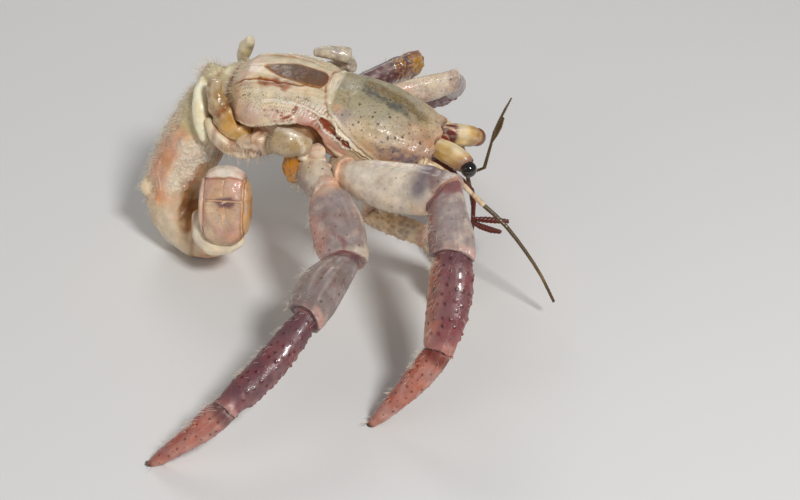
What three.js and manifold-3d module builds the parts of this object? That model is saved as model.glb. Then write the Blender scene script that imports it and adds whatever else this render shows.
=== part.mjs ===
// A land hermit crab out of its shell, life size, as a still museum model. Millimetres, +Z up.
// It stands on its claws, four walking legs and curled tail: head towards +X, its right side
// towards -Y. Each plate of the armour is one closed solid, and neighbours are parted by thin
// cuts, JOINT_GAP wide. The small fourth and fifth legs are folded against the body.
import * as THREE from "three";
import Module from "manifold-3d";
import { mergeVertices } from "three/addons/utils/BufferGeometryUtils.js";

const wasm = await Module();
wasm.setup();

// ---- driving dimensions ----------------------------------------------------------------------
const JOINT_GAP = 0.3; // between neighbouring solids
const HALF_GAP = JOINT_GAP / 2;
const STANCE_SHIFT = [4.504, 1.545, 0]; // puts the origin under the middle of the whole crab
const TRUNK_AT = [-5.7, 1.5, 17.9]; // the neck groove, on the widest line
const TRUNK_YAW = -13; // degrees, head turned to the crab's right
const TRUNK_PITCH = 12; // degrees, nose down
const SHIELD_LENGTH = 11.8; // from the neck groove to the brow
const BACK_LENGTH = 10.8; // the softer rear carapace, from the neck groove to its rear edge
const OVERHANG = 1.0; // how far the carapace stands proud of the thorax below its edge
const FAR = 30; // past everything, for cutting shapes
const LIMB_SIDES = 10;
const BODY_SIDES = 20;
const TRUNK_BOXINESS = 0.85; // under 1, the trunk's section is fuller than an ellipse
const TAIL_BOXINESS = 2.6; // over 2, the tail's outline is squarer than an ellipse

const point = ([x, y, z]) => new THREE.Vector3(x, y, z);
const degrees = THREE.MathUtils.degToRad;

// ---- materials -------------------------------------------------------------------------------
const paint = (color, roughness = 0.4) =>
  new THREE.MeshStandardMaterial({ color, roughness, metalness: 0 });
const SHIELD_GREY = paint(0xb3a898);
const BACK_CREAM = paint(0xd2b6a0);
const THORAX_PALE = paint(0xc9a98f);
const ABDOMEN_FLESH = paint(0xdcae8c, 0.5);
const TAIL_PLATE = paint(0xd8bfa2);
const UPPER_LEG = paint(0xb09aa2);
const LOWER_LEG = paint(0xb4696c);
const CLAW_PURPLE = paint(0x7a5a70);
const STALK_CREAM = paint(0xd9bd84, 0.25);
const EYE_DARK = paint(0x140a08, 0.08);
const FEELER_CREAM = paint(0xc8b088);
const FEELER_BROWN = paint(0x7c5a38);
const FEELER_RED = paint(0x7a2c1c);
const SMALL_LEG = paint(0xc4a37a);

// ---- solids ----------------------------------------------------------------------------------
function solidOf(geometry) {
  const bare = geometry.clone();
  bare.deleteAttribute("normal");
  bare.deleteAttribute("uv");
  const merged = mergeVertices(bare, 1e-4);
  return new wasm.Manifold(
    new wasm.Mesh({
      numProp: 3,
      vertProperties: merged.attributes.position.array,
      triVerts: new Uint32Array(merged.index.array),
    }),
  );
}

function piece(name, solid, material) {
  const { vertProperties, triVerts } = largest(solid).getMesh();
  const geometry = new THREE.BufferGeometry();
  geometry.setAttribute("position", new THREE.BufferAttribute(vertProperties, 3));
  geometry.setIndex(new THREE.BufferAttribute(triVerts, 1));
  geometry.computeVertexNormals();
  const mesh = new THREE.Mesh(geometry, material);
  mesh.name = name;
  return mesh;
}

// The largest body of a solid: a cut can leave a sliver behind.
function largest(solid) {
  return solid.decompose().reduce((best, body) => (body.volume() > best.volume() ? body : best));
}

// The part of a solid on the side of a plane that its normal points to.
function keepSide(solid, at, normal) {
  const n = normal.clone().normalize();
  return solid.trimByPlane(n.toArray(), n.dot(at));
}

// Smooth values between rows of [t, value, value, ...]; t runs from low to high.
function rowsAt(rows, t) {
  const last = rows.length - 1;
  let i = 0;
  while (i < last - 1 && t > rows[i + 1][0]) i += 1;
  const [a, b] = [rows[i], rows[i + 1]];
  const before = rows[Math.max(i - 1, 0)];
  const after = rows[Math.min(i + 2, last)];
  const span = b[0] - a[0];
  const s = THREE.MathUtils.clamp((t - a[0]) / span, 0, 1);
  const [s2, s3] = [s * s, s * s * s];
  return a.slice(1).map((value, k) => {
    const next = b[k + 1];
    const slopeA = ((next - before[k + 1]) / (b[0] - before[0])) * span;
    const slopeB = ((after[k + 1] - value) / (after[0] - a[0])) * span;
    const [atA, atB] = [2 * s3 - 3 * s2 + 1, -2 * s3 + 3 * s2];
    return atA * value + (s3 - 2 * s2 + s) * slopeA + atB * next + (s3 - s2) * slopeB;
  });
}

// A closed skin over rings of points, with a fan over each end.
function loft(rings) {
  const sides = rings[0].length;
  const vertices = rings.flat();
  const indices = [];
  for (let r = 0; r < rings.length - 1; r += 1)
    for (let k = 0; k < sides; k += 1) {
      const [a, b] = [r * sides + k, r * sides + ((k + 1) % sides)];
      indices.push(a, b, a + sides, b, b + sides, a + sides);
    }
  for (const [ring, flip] of [[0, true], [rings.length - 1, false]]) {
    const middle = new THREE.Vector3();
    rings[ring].forEach((p) => middle.addScaledVector(p, 1 / sides));
    vertices.push(middle);
    for (let k = 0; k < sides; k += 1) {
      const [a, b] = [ring * sides + k, ring * sides + ((k + 1) % sides)];
      indices.push(...(flip ? [b, a] : [a, b]), vertices.length - 1);
    }
  }
  const geometry = new THREE.BufferGeometry().setFromPoints(vertices);
  geometry.setIndex(indices);
  return geometry;
}

// A solid along a smooth line. Rows of the profile are [t, half width, half depth]:
// depth is measured towards `up` and width across it.
function sweep(line, up, profile, steps = 6, sides = LIMB_SIDES) {
  const curve = new THREE.CatmullRomCurve3(line.map(point), false, "centripetal");
  const rings = [];
  for (let i = 0; i <= steps; i += 1) {
    const t = i / steps;
    const along = curve.getTangentAt(t);
    const deep = point(up).projectOnPlane(along).normalize();
    const wide = along.clone().cross(deep);
    const [width, depth] = rowsAt(profile, t);
    const at = curve.getPointAt(t);
    const ring = Array.from({ length: sides }, (_, k) => {
      const angle = (2 * Math.PI * (k + 0.5)) / sides;
      const corner = at.clone().addScaledVector(deep, depth * Math.cos(angle));
      return corner.addScaledVector(wide, width * Math.sin(angle));
    });
    rings.push(ring);
  }
  return solidOf(loft(rings));
}

// ---- trunk: hard shield, softer rear carapace, and thorax below ------------------------------
// Rows of [x, half width, top, widest level, bottom] from the rear edge to the brow.
const TRUNK = [
  [-BACK_LENGTH, 2.6, 1.9, -0.6, -3.0],
  [-10.0, 4.0, 2.6, -0.7, -4.1],
  [-8.0, 5.6, 3.3, -0.6, -5.1],
  [-5.0, 6.3, 3.8, -0.3, -5.5],
  [-2.0, 6.0, 3.9, 0.0, -5.7],
  [0.0, 5.3, 3.7, 0.2, -5.7],
  [3.0, 5.5, 4.1, 0.2, -5.5],
  [6.0, 5.5, 3.9, 0.0, -5.1],
  [9.0, 4.9, 3.1, 0.1, -4.5],
  [11.0, 4.25, 2.2, 0.3, -3.6],
  [SHIELD_LENGTH, 3.6, 1.6, 0.3, -2.4],
];
const TRUNK_STEPS = 15;

function trunkWhole(grow) {
  const rings = [];
  for (let i = 0; i <= TRUNK_STEPS; i += 1) {
    const s = i / TRUNK_STEPS;
    const x = -BACK_LENGTH + (SHIELD_LENGTH + BACK_LENGTH) * s;
    const [half, top, level, bottom] = rowsAt(TRUNK, x);
    const ring = Array.from({ length: BODY_SIDES }, (_, k) => {
      const angle = (2 * Math.PI * k) / BODY_SIDES;
      const sine = Math.sin(angle);
      const reach = sine > 0 ? top - level + grow : level - bottom + grow;
      const rise = Math.sign(sine) * Math.abs(sine) ** TRUNK_BOXINESS * reach;
      return new THREE.Vector3(x + grow * (2 * s - 1), (half + grow) * Math.cos(angle), level + rise);
    });
    rings.push(ring);
  }
  return solidOf(loft(rings));
}

// A prism with this outline in the side view, right across the body.
function sidePrism(outline) {
  const shape = new THREE.Shape(outline.map(([x, z]) => new THREE.Vector2(x, z)));
  const geometry = new THREE.ExtrudeGeometry(shape, { depth: 2 * FAR, bevelEnabled: false });
  geometry.rotateX(Math.PI / 2).translate(0, FAR, 0);
  return solidOf(geometry);
}

// The seam between shield and rear carapace drops down the neck groove, then runs forward
// and down to the cheek. The carapace's lower edge arches over the small legs.
const GROOVE_FOOT = 2.6;
const CHEEK = [6.8, -1.0];
const CHEEK_FRONT = -0.2;
const BROW_CLEARANCE = 1; // how far below the cheek's line the limbs' cutting shape starts
const EDGE = [
  [6.8, -1.4], [3.3, -2.3], [1.2, -1.7], [0.3, 0.1], [-0.8, 0.95], [-2.6, 1.1],
  [-4.6, 0.35], [-7.0, -0.9], [-9.0, -1.6], [-FAR, -2.6],
];

function trunkPieces() {
  const whole = trunkWhole(0);
  const shield = whole.intersect(
    sidePrism([
      [HALF_GAP, FAR], [HALF_GAP, GROOVE_FOOT], CHEEK, [FAR, CHEEK_FRONT], [FAR, FAR],
    ]),
  );
  const back = whole.intersect(
    sidePrism([
      [-HALF_GAP, FAR], [-FAR, FAR], ...EDGE.slice().reverse(),
      [CHEEK[0] - JOINT_GAP, CHEEK[1] - HALF_GAP], [-HALF_GAP, GROOVE_FOOT - HALF_GAP],
    ]),
  );
  const lower = [[FAR, CHEEK_FRONT], CHEEK, ...EDGE].map(([x, z]) => [x, z - JOINT_GAP]);
  const thorax = trunkWhole(-OVERHANG).intersect(sidePrism([...lower, [-FAR, -FAR], [FAR, -FAR]]));
  return [
    piece("carapace_shield", shield, SHIELD_GREY),
    piece("carapace_back", back, BACK_CREAM),
    piece("thorax", thorax, THORAX_PALE),
  ];
}

const trunk = new THREE.Group();
trunk.position.set(...TRUNK_AT);
trunk.rotation.set(0, degrees(TRUNK_PITCH), degrees(TRUNK_YAW), "ZYX");
trunk.updateMatrix();
trunk.add(...trunkPieces());

// The room that the trunk takes with a gap around it, in its own frame and in the crab's frame.
const ABOVE_EDGE = [...EDGE.map(([x, z]) => [x, z - 2 * JOINT_GAP]), [-FAR, FAR], [FAR, FAR]];
const HEAD_ROOM = trunkWhole(JOINT_GAP);
const BODY_ROOM = HEAD_ROOM.intersect(sidePrism([[FAR, CHEEK_FRONT - BROW_CLEARANCE], ...ABOVE_EDGE])).add(
  trunkWhole(JOINT_GAP - OVERHANG),
);
const BODY_ROOM_IN_CRAB = BODY_ROOM.transform(trunk.matrix.toArray());
const fromTrunk = (p) => point(p).applyMatrix4(trunk.matrix).toArray();

const SIDES = [["right", -1], ["left", 1]];
const mirrored = (side, [x, y, z]) => [x, side * y, z];

// ---- eyes: a stout stalk with a dark ball on its outer end -------------------------------------
const EYE_RADIUS = 0.85;
const EYE_AT = [16.05, 3.15, 0.2];
const STALK_LINE = [[12.2, 1.35, 0.4], [14.2, 2.1, 0.5], [16.1, 2.85, 0.35]];
const STALK_ROWS = [
  [0, 0.75, 0.9], [0.25, 0.9, 1.05], [0.6, 0.85, 1.05], [0.85, 0.8, 0.95], [1, 0.5, 0.6],
];

function eye(label, side) {
  const ballAt = mirrored(side, EYE_AT);
  const ball = (radius) =>
    solidOf(new THREE.SphereGeometry(radius, 11, 7).scale(1, 0.95, 1).translate(...ballAt));
  const stalk = sweep(STALK_LINE.map((p) => mirrored(side, p)), [0, 0, 1], STALK_ROWS, 5, 8);
  const clear = stalk.subtract(ball(EYE_RADIUS + HALF_GAP));
  return [
    piece(`eyestalk_${label}`, clear, STALK_CREAM),
    piece(`eye_${label}`, ball(EYE_RADIUS), EYE_DARK),
  ];
}

// ---- feelers ---------------------------------------------------------------------------------
// The long antenna: a jointed stem beside the eye, then a whip that tapers. The right one
// reaches forward; the left one hangs down in front of the large claw and trails on the floor.
const ANTENNAE = {
  right: {
    stem: [[11.3, -4.5, 0.0], [14.9, -4.5, -0.5], [18.4, -5.7, -1.6]],
    whip: [[18.7, -5.8, -1.75], [21.3, -6.3, -2.9], [26.1, -7.5, -6.4], [28.9, -8.1, -9.5]],
  },
  left: {
    stem: [[11.3, 4.4, -0.2], [14.0, 4.2, -1.6], [15.7, 3.2, -4.4]],
    whip: [[15.8, 3.1, -4.7], [17.7, 2.2, -8.6], [18.5, 0.8, -12.4], [17.0, 4.0, -13.7],
      [14.0, 7.5, -14.2]],
  },
};

const STEM_ROWS = [[0, 0.75, 0.85], [0.25, 0.6, 0.6], [0.45, 0.34, 0.34], [1, 0.27, 0.27]];
const WHIP_ROWS = [[0, 0.26, 0.26], [0.5, 0.22, 0.22], [1, 0.18, 0.18]];

function antenna(label) {
  const { stem, whip } = ANTENNAE[label];
  const base = sweep(stem, [0, 0, 1], STEM_ROWS, 6, 8).subtract(HEAD_ROOM);
  return [
    piece(`antenna_${label}_stem`, base, FEELER_CREAM),
    piece(`antenna_${label}_whip`, sweep(whip, [0, 1, 0.3], WHIP_ROWS, 8, 6), FEELER_BROWN),
  ];
}

// The short antennules have a stalk of thin articles that ends in two brushes: one is raised
// over the eyes, the other hangs with its brushes held forward.
const THIN = 0.2;
const STOUT_BRUSH = [[0, THIN, THIN], [0.2, 0.3, 0.34], [0.85, 0.3, 0.34], [1, 0.2, 0.2]];
const FINE_BRUSH = [[0, THIN, THIN], [0.3, 0.21, 0.24], [0.85, 0.19, 0.21], [1, 0.14, 0.14]];

function antennule(label, side, stalk, brushes, brushRows) {
  const parts = [sweep(stalk, [0, side, 0], [[0, 0.35, 0.35], [1, THIN, THIN]], 7, 6)];
  for (const brush of brushes) parts.push(sweep(brush, [0, side, 0], brushRows, 3, 6));
  const joined = parts.reduce((all, part) => all.add(part));
  return piece(`antennule_${label}`, joined, label === "left" ? FEELER_BROWN : FEELER_RED);
}

for (const [label, side] of SIDES) trunk.add(...eye(label, side), ...antenna(label));
trunk.add(
  antennule(
    "left", 1,
    [[12.2, 0.6, -1.3], [14.6, 0.5, -2.4], [17.3, 0.4, -2.2], [17.5, 0.6, 0.5], [17.4, 1.0, 3.0]],
    [
      [[17.4, 1.0, 2.8], [17.7, 1.4, 5.0], [18.1, 1.9, 7.0]],
      [[17.45, 0.8, 1.6], [17.9, 1.0, 3.3], [17.95, 1.2, 4.8]],
    ],
    FINE_BRUSH,
  ),
  antennule(
    "right", -1,
    [[12.2, -0.7, -1.5], [15.0, -1.0, -2.7], [17.0, -1.4, -3.6], [18.1, -1.8, -7.3]],
    [
      [[18.0, -1.75, -7.0], [19.8, -1.6, -6.55], [21.8, -1.5, -6.05]],
      [[18.0, -1.75, -7.4], [19.6, -1.7, -7.75], [21.4, -1.7, -7.6]],
    ],
    STOUT_BRUSH,
  ),
);

// ---- limbs -----------------------------------------------------------------------------------
const PAST_JOINT = 0.8; // a segment's skin runs on this far before the joint's cut

// One segment between two joints, cut square to the bend at each end that has a neighbour.
function segment(from, to, { up, profile, before, after, bow = [0, 0, 0], steps = 5 }) {
  const [a, b] = [point(from), point(to)];
  const along = b.clone().sub(a).normalize();
  const start = before ? a.clone().addScaledVector(along, -PAST_JOINT) : a;
  const end = after ? b.clone().addScaledVector(along, PAST_JOINT) : b;
  const middle = a.clone().lerp(b, 0.5).add(point(bow));
  let solid = sweep([start, middle, end].map((p) => p.toArray()), up, profile, steps);
  if (before) {
    const normal = along.clone().add(a.clone().sub(point(before)).normalize()).normalize();
    solid = keepSide(solid, a.clone().addScaledVector(normal, HALF_GAP), normal);
  }
  if (after) {
    const normal = along.clone().add(point(after).sub(b).normalize()).normalize();
    solid = keepSide(solid, b.clone().addScaledVector(normal, -HALF_GAP), normal.negate());
  }
  return solid;
}

const ABOVE_FLOOR = [new THREE.Vector3(0, 0, 0), new THREE.Vector3(0, 0, 1)];

// A whole limb: joints[i] and joints[i + 1] bound segment i, and the last ends on the floor.
function limb(name, joints, segments) {
  return segments.map(({ part, material, ...rest }, i) => {
    let solid = segment(joints[i], joints[i + 1], {
      ...rest,
      before: i > 0 ? joints[i - 1] : null,
      after: joints[i + 2] ?? null,
    });
    if (i === 0) solid = solid.subtract(BODY_ROOM_IN_CRAB);
    if (i === segments.length - 1) solid = keepSide(solid, ...ABOVE_FLOOR);
    return piece(`${name}_${part}`, solid, material);
  });
}

// Walking legs: the second and third pair. Half sizes are [t, across, deep].
const STOUT_PROPODUS = [[0, 1.3, 1.8], [0.15, 1.7, 2.3], [0.6, 1.6, 2.25], [1, 1.2, 1.6]];
const SLIM_PROPODUS = [[0, 1.1, 1.2], [0.2, 1.35, 1.6], [0.6, 1.45, 1.75], [1, 1.2, 1.45]];

function walkingLeg(name, joints, size, ups, propodus, bows) {
  const rows = (...list) => list.map(([t, across, deep]) => [t, across * size, deep * size]);
  const [coxaUp, merusUp, lowerUp] = ups;
  return limb(name, joints, [
    { part: "coxa", material: UPPER_LEG, up: coxaUp, steps: 3,
      profile: rows([0, 1.1, 1.4], [0.6, 1.25, 1.7], [1, 1.2, 1.8]) },
    { part: "merus", material: UPPER_LEG, up: merusUp, steps: 4,
      profile: rows([0, 1.0, 1.4], [0.25, 1.4, 2.4], [0.8, 1.7, 2.75], [1, 1.5, 2.2]) },
    { part: "carpus", material: UPPER_LEG, up: lowerUp, steps: 4,
      profile: rows([0, 1.2, 1.6], [0.3, 1.5, 2.0], [0.85, 1.7, 2.3], [1, 1.5, 1.9]) },
    { part: "propodus", material: LOWER_LEG, up: lowerUp, steps: 5, bow: bows.propodus,
      profile: rows(...propodus) },
    { part: "dactyl", material: LOWER_LEG, up: lowerUp, steps: 6, bow: bows.dactyl,
      profile: rows([0, 1.1, 1.4], [0.35, 1.0, 1.35], [0.8, 0.65, 0.85], [1, 0.28, 0.32]) },
  ]);
}

// Which way the deep sides stand: one direction for the coxa, one for the merus, and one for
// the lower leg, which bends in a plane of its own.
const RIGHT_2_UPS = [[0.2, 0.5, 0.7], [0.2, 0.54, 0.69], [0.7, -0.5, 0.1]];
const RIGHT_3_UPS = [[0.4, 0.4, 0.7], [0.9, 0.1, 0.3], [0.5, -0.7, 0.1]];
const LEFT_UPS = [[0.2, -0.5, 0.7], [0, -0.4, 0.9], [0.6, 0.5, 0.3]];

const legs = [
  ...walkingLeg(
    "leg_2_right",
    [fromTrunk([2.4, -2.5, -4.2]), [-4.0, -6.4, 15.1], [6.3, -13.0, 17.3], [6.6, -19.5, 14.3],
      [5.2, -26.0, 8.0], [-1.4, -28.05, -0.15]],
    1, RIGHT_2_UPS, STOUT_PROPODUS, { propodus: [0.5, 0, 0], dactyl: [0.1, -0.6, 0] },
  ),
  ...walkingLeg(
    "leg_3_right",
    [fromTrunk([-2.0, -2.5, -4.6]), [-6.0, -9.0, 14.4], [-3.8, -16.0, 11.1], [-7.5, -23.5, 9.9],
      [-15.0, -31.0, 5.2], [-22.3, -33.25, -0.1]],
    1, RIGHT_3_UPS, SLIM_PROPODUS, { propodus: [0.4, -0.2, -0.3], dactyl: [0.2, -0.5, 0.2] },
  ),
  ...walkingLeg(
    "leg_2_left",
    [fromTrunk([2.0, 2.5, -4.4]), [-1.6, 8.0, 14.9], [7.6, 11.3, 15.5], [8.2, 16.5, 11.8],
      [5.6, 23.0, 5.8], [1.2, 27.25, -0.15]],
    0.74, LEFT_UPS, STOUT_PROPODUS, { propodus: [0.3, 0.2, 0], dactyl: [0.3, 0.5, 0] },
  ),
  ...walkingLeg(
    "leg_3_left",
    [fromTrunk([-2.0, 2.5, -4.6]), [-6.0, 8.7, 14.8], [3.2, 14.5, 16.0], [1.4, 19.3, 11.3],
      [-4.0, 26.0, 5.0], [-9.6, 30.6, -0.15]],
    0.8, LEFT_UPS, SLIM_PROPODUS, { propodus: [0, 0.2, 0.2], dactyl: [0, 0.5, 0.2] },
  ),
];

const KNUCKLE_OFFSET = 1.35; // from the palm's middle to either finger's root, at size 1
const FINGER_BOW = 0.7;
const FINGER_ROOT = 0.3; // how far up the palm a finger's root reaches, as a share of its length
const HINGE_SETBACK = 0.5; // how far behind the knuckle the moving finger starts
const ROOM_SETBACK = 0.9; // and how far behind it the palm is cut away for that finger
const ROOM_SPREAD = 3; // how far to the side that cut ends, at size 1

// Claw legs: the palm and its fixed finger are one solid, the moving finger another.
function clawLeg(name, joints, size, palmSize, ups, open) {
  const scale = (factor, list) => list.map(([t, across, deep]) => [t, across * factor, deep * factor]);
  const [coxaUp, armUp, palmUp] = ups;
  const arm = limb(name, joints.slice(0, 5), [
    { part: "coxa", material: UPPER_LEG, up: coxaUp, steps: 4,
      profile: scale(size, [[0, 1.0, 1.1], [0.6, 1.2, 1.4], [1, 1.2, 1.5]]) },
    { part: "merus", material: CLAW_PURPLE, up: armUp,
      profile: scale(size, [[0, 1.2, 1.5], [0.5, 1.4, 2.0], [1, 1.5, 2.0]]) },
    { part: "carpus", material: CLAW_PURPLE, up: armUp, steps: 4,
      profile: scale(size, [[0, 1.3, 1.6], [0.5, 1.6, 2.1], [1, 1.6, 2.0]]) },
  ]);
  const [wrist, knuckle, tip] = [joints[3], joints[4], joints[5]];
  const hand = segment(wrist, knuckle, {
    up: palmUp, before: joints[2], steps: 5,
    profile: scale(palmSize, [[0, 1.3, 1.8], [0.35, 2.0, 3.1], [0.8, 1.9, 3.2], [1, 1.5, 2.6]]),
  });
  const deep = point(palmUp)
    .projectOnPlane(point(tip).sub(point(knuckle)))
    .normalize();
  const reach = point(knuckle).distanceTo(point(wrist));
  const inward = point(wrist).sub(point(knuckle)).normalize();
  const finger = (side) => {
    const root = point(knuckle).addScaledVector(deep, side * KNUCKLE_OFFSET * palmSize);
    const bowed = root.clone().lerp(point(tip), 0.5).addScaledVector(deep, side * FINGER_BOW * palmSize);
    const end = point(tip).addScaledVector(deep, side * open);
    const start = root.clone().addScaledVector(inward, FINGER_ROOT * reach);
    return sweep(
      [start, root, bowed, end].map((p) => p.toArray()), palmUp,
      scale(palmSize, [[0, 1.2, 1.1], [0.4, 1.2, 1.15], [0.75, 0.9, 0.85], [1, 0.3, 0.3]]), 5, 8,
    );
  };
  const behind = (distance) => point(knuckle).addScaledVector(inward, distance);
  const hinge = keepSide(finger(1), behind(HINGE_SETBACK), inward.clone().negate());
  const room = sweep(
    [behind(ROOM_SETBACK).addScaledVector(deep, KNUCKLE_OFFSET * palmSize).toArray(),
      point(tip).addScaledVector(deep, ROOM_SPREAD * palmSize).toArray()],
    palmUp, scale(palmSize, [[0, 2.6, 1.45], [1, 2.6, 2.6]]), 2,
  );
  const palm = hand.add(finger(-1)).subtract(room);
  return [
    ...arm,
    piece(`${name}_palm`, keepSide(palm, ...ABOVE_FLOOR), CLAW_PURPLE),
    piece(`${name}_finger`, keepSide(hinge.subtract(palm), ...ABOVE_FLOOR), CLAW_PURPLE),
  ];
}

const claws = [
  ...clawLeg(
    "claw_right",
    [fromTrunk([5.6, -2.3, -4.0]), [-1.5, -5.6, 9.0], [4.6, -7.8, 7.9], [6.6, -8.4, 5.9],
      [6.9, -10.0, 2.9], [6.7, -11.6, 0.1]],
    0.72, 0.62, [[0.2, 0.5, 0.7], [0.1, -0.3, 0.9], [0.1, 0.9, 0.4]], 0.25,
  ),
  ...clawLeg(
    "claw_left",
    [fromTrunk([5.6, 2.3, -4.0]), [0.4, 5.8, 10.8], [4.4, 9.8, 8.7], [6.3, 6.8, 7.4],
      [6.8, 0.4, 3.6], [6.9, -4.6, 0.1]],
    0.95, 1.0, [[0.2, -0.5, 0.7], [0, 0, 1], [0, -0.6, 0.8]], 0.4,
  ),
];

// ---- small fourth and fifth legs, folded against the body, in the trunk's frame --------------
const SMALL_LEGS = {
  leg_4_right: {
    line: [[-4.4, -3.4, -3.6], [-5.3, -5.8, -2.6], [-4.3, -6.9, -1.0], [-2.4, -7.1, -0.5],
      [-0.4, -6.5, -0.7]],
    rows: [[0, 0.8, 0.8], [0.35, 0.7, 0.9], [0.6, 0.75, 1.4], [0.8, 0.75, 1.55], [1, 0.5, 0.8]],
  },
  leg_5_right: {
    line: [[-7.4, -4.2, -3.8], [-10.2, -4.6, -1.7], [-11.9, -3.8, 0.2], [-12.3, -3.2, 1.6]],
    rows: [[0, 1.0, 1.1], [0.3, 1.2, 1.5], [0.6, 1.05, 1.3], [0.75, 0.85, 1.0], [1, 0.6, 0.75]],
  },
  leg_4_left: {
    line: [[-3.8, 3.4, -3.6], [-3.2, 7.4, -0.6], [0.3, 7.3, 2.0], [-1.0, 6.7, 3.0],
      [-4.0, 5.6, 2.85]],
    rows: [[0, 0.8, 0.8], [0.4, 0.7, 0.8], [0.6, 0.8, 0.85], [0.8, 0.8, 0.85], [1, 0.35, 0.35]],
  },
  leg_5_left: {
    line: [[-5.7, 3.7, -4.1], [-9.4, 7.2, -4.2], [-12.0, 7.1, -2.4], [-12.0, 6.6, -0.4],
      [-11.3, 6.0, 1.7]],
    rows: [[0, 0.8, 0.8], [0.35, 0.8, 0.85], [0.7, 0.6, 0.65], [0.88, 0.75, 0.85], [1, 0.4, 0.5]],
  },
};
for (const [name, { line, rows }] of Object.entries(SMALL_LEGS))
  trunk.add(piece(name, sweep(line, [0.2, 0.1, 1], rows, 8, 8).subtract(BODY_ROOM), SMALL_LEG));

// The outer mouthparts hang below the brow, between the claws' roots.
const MOUTHPART = [[8.6, 1.1, -3.6], [11.8, 1.3, -4.3], [12.9, 1.2, -6.0]];
for (const [label, side] of SIDES) {
  const rows = [[0, 0.5, 0.8], [0.5, 0.6, 0.8], [1, 0.35, 0.45]];
  const line = MOUTHPART.map((p) => mirrored(side, p));
  const palp = sweep(line, [0.7, 0, -0.7], rows, 5, 8).subtract(BODY_ROOM);
  trunk.add(piece(`maxilliped_${label}`, palp, THORAX_PALE));
}

// ---- soft abdomen, curled down and round towards the right ---------------------------------------
const ABDOMEN_LINE = [
  [-12.6, 4.2, 18.4], [-15.2, 4.7, 17.8], [-17.6, 5.0, 16.8], [-19.8, 4.8, 14.5],
  [-21.8, 4.2, 11.4], [-23.7, 3.2, 7.8], [-23.9, 2.2, 5.0], [-22.3, 0.8, 3.1],
  [-19.9, -0.9, 3.4], [-18.1, -2.7, 6.4],
];
const ABDOMEN_ROWS = [
  [0, 3.5, 4.0], [0.2, 3.7, 4.3], [0.35, 3.6, 4.2], [0.52, 3.5, 3.8], [0.7, 3.2, 3.4],
  [0.84, 3.1, 3.3], [1, 2.5, 2.6],
];
const ABDOMEN_CUTS = [0.3, 0.52, 0.74]; // along the line, between the four lengths
const ABDOMEN_STEPS = 18;
const ABDOMEN_SIDES = 14;

function abdomenRings(curve, from, to) {
  const count = Math.round(ABDOMEN_STEPS * (to - from));
  return Array.from({ length: count + 1 }, (_, i) => {
    const t = from + ((to - from) * i) / count;
    const along = curve.getTangentAt(t);
    const deep = point([0, 1, 0]).projectOnPlane(along).normalize();
    const wide = along.clone().cross(deep);
    const [width, depth] = rowsAt(ABDOMEN_ROWS, t);
    const at = curve.getPointAt(t);
    return Array.from({ length: ABDOMEN_SIDES }, (_, k) => {
      const angle = (2 * Math.PI * k) / ABDOMEN_SIDES;
      const corner = at.clone().addScaledVector(deep, depth * Math.cos(angle));
      return corner.addScaledVector(wide, width * Math.sin(angle));
    });
  });
}

function abdomen() {
  const curve = new THREE.CatmullRomCurve3(ABDOMEN_LINE.map(point), false, "centripetal");
  const gapShare = JOINT_GAP / curve.getLength();
  const ends = [0, ...ABDOMEN_CUTS, 1];
  return ends.slice(1).map((to, i) => {
    const from = ends[i] + (i > 0 ? gapShare : 0);
    let solid = solidOf(loft(abdomenRings(curve, from, to)));
    if (i === 0) solid = solid.subtract(BODY_ROOM_IN_CRAB);
    if (i === ABDOMEN_CUTS.length) solid = solid.subtract(TAIL_ROOM);
    return piece(`abdomen_${i + 1}`, keepSide(solid, ...ABOVE_FLOOR), ABDOMEN_FLESH);
  });
}

// ---- tail: two hard plates on the abdomen's end, with a uropod on either side -------------------
// In its own frame the tail's face looks along +Z, with +Y towards the sixth tergite.
const TAIL_AT = [-17.1, -4.8, 9.8];
const TAIL_FACES = [-0.12, -0.84, 0.53];
const TAIL_RISES = [0.05, 0.5, 0.86];
const TAIL_HALF = [2.85, 4.2]; // across and along
const TAIL_THICK = 1.7;
const TAIL_SIDES = 20;
const UROPOD_CUT = 2.1; // either side of the middle
const TERGITE_CUT = 0.6; // above the middle
const PILLOW_LAYERS = [[-1, 0.72], [-0.45, 0.95], [0.1, 1], [0.6, 0.9], [1, 0.55]]; // [level, share]

function tailFrame() {
  const out = point(TAIL_FACES).normalize();
  const rise = point(TAIL_RISES).projectOnPlane(out).normalize();
  return new THREE.Matrix4().makeBasis(rise.clone().cross(out), rise, out);
}

const tail = new THREE.Group();
tail.position.set(...TAIL_AT);
tail.quaternion.setFromRotationMatrix(tailFrame());
tail.updateMatrix();

// A pillow of this outline: full at the middle of its thickness, smaller at back and face.
function pillow(grow) {
  return solidOf(
    loft(
      PILLOW_LAYERS.map(([level, share]) =>
        Array.from({ length: TAIL_SIDES }, (_, k) => {
          const angle = (2 * Math.PI * k) / TAIL_SIDES;
          const [c, s] = [Math.cos(angle), Math.sin(angle)];
          const power = Math.abs(c) ** TAIL_BOXINESS + Math.abs(s) ** TAIL_BOXINESS;
          const round = power ** (-1 / TAIL_BOXINESS);
          return new THREE.Vector3(
            (TAIL_HALF[0] * share + grow) * c * round,
            (TAIL_HALF[1] * share + grow) * s * round,
            level * (TAIL_THICK + grow),
          );
        }),
      ),
    ),
  );
}

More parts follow.
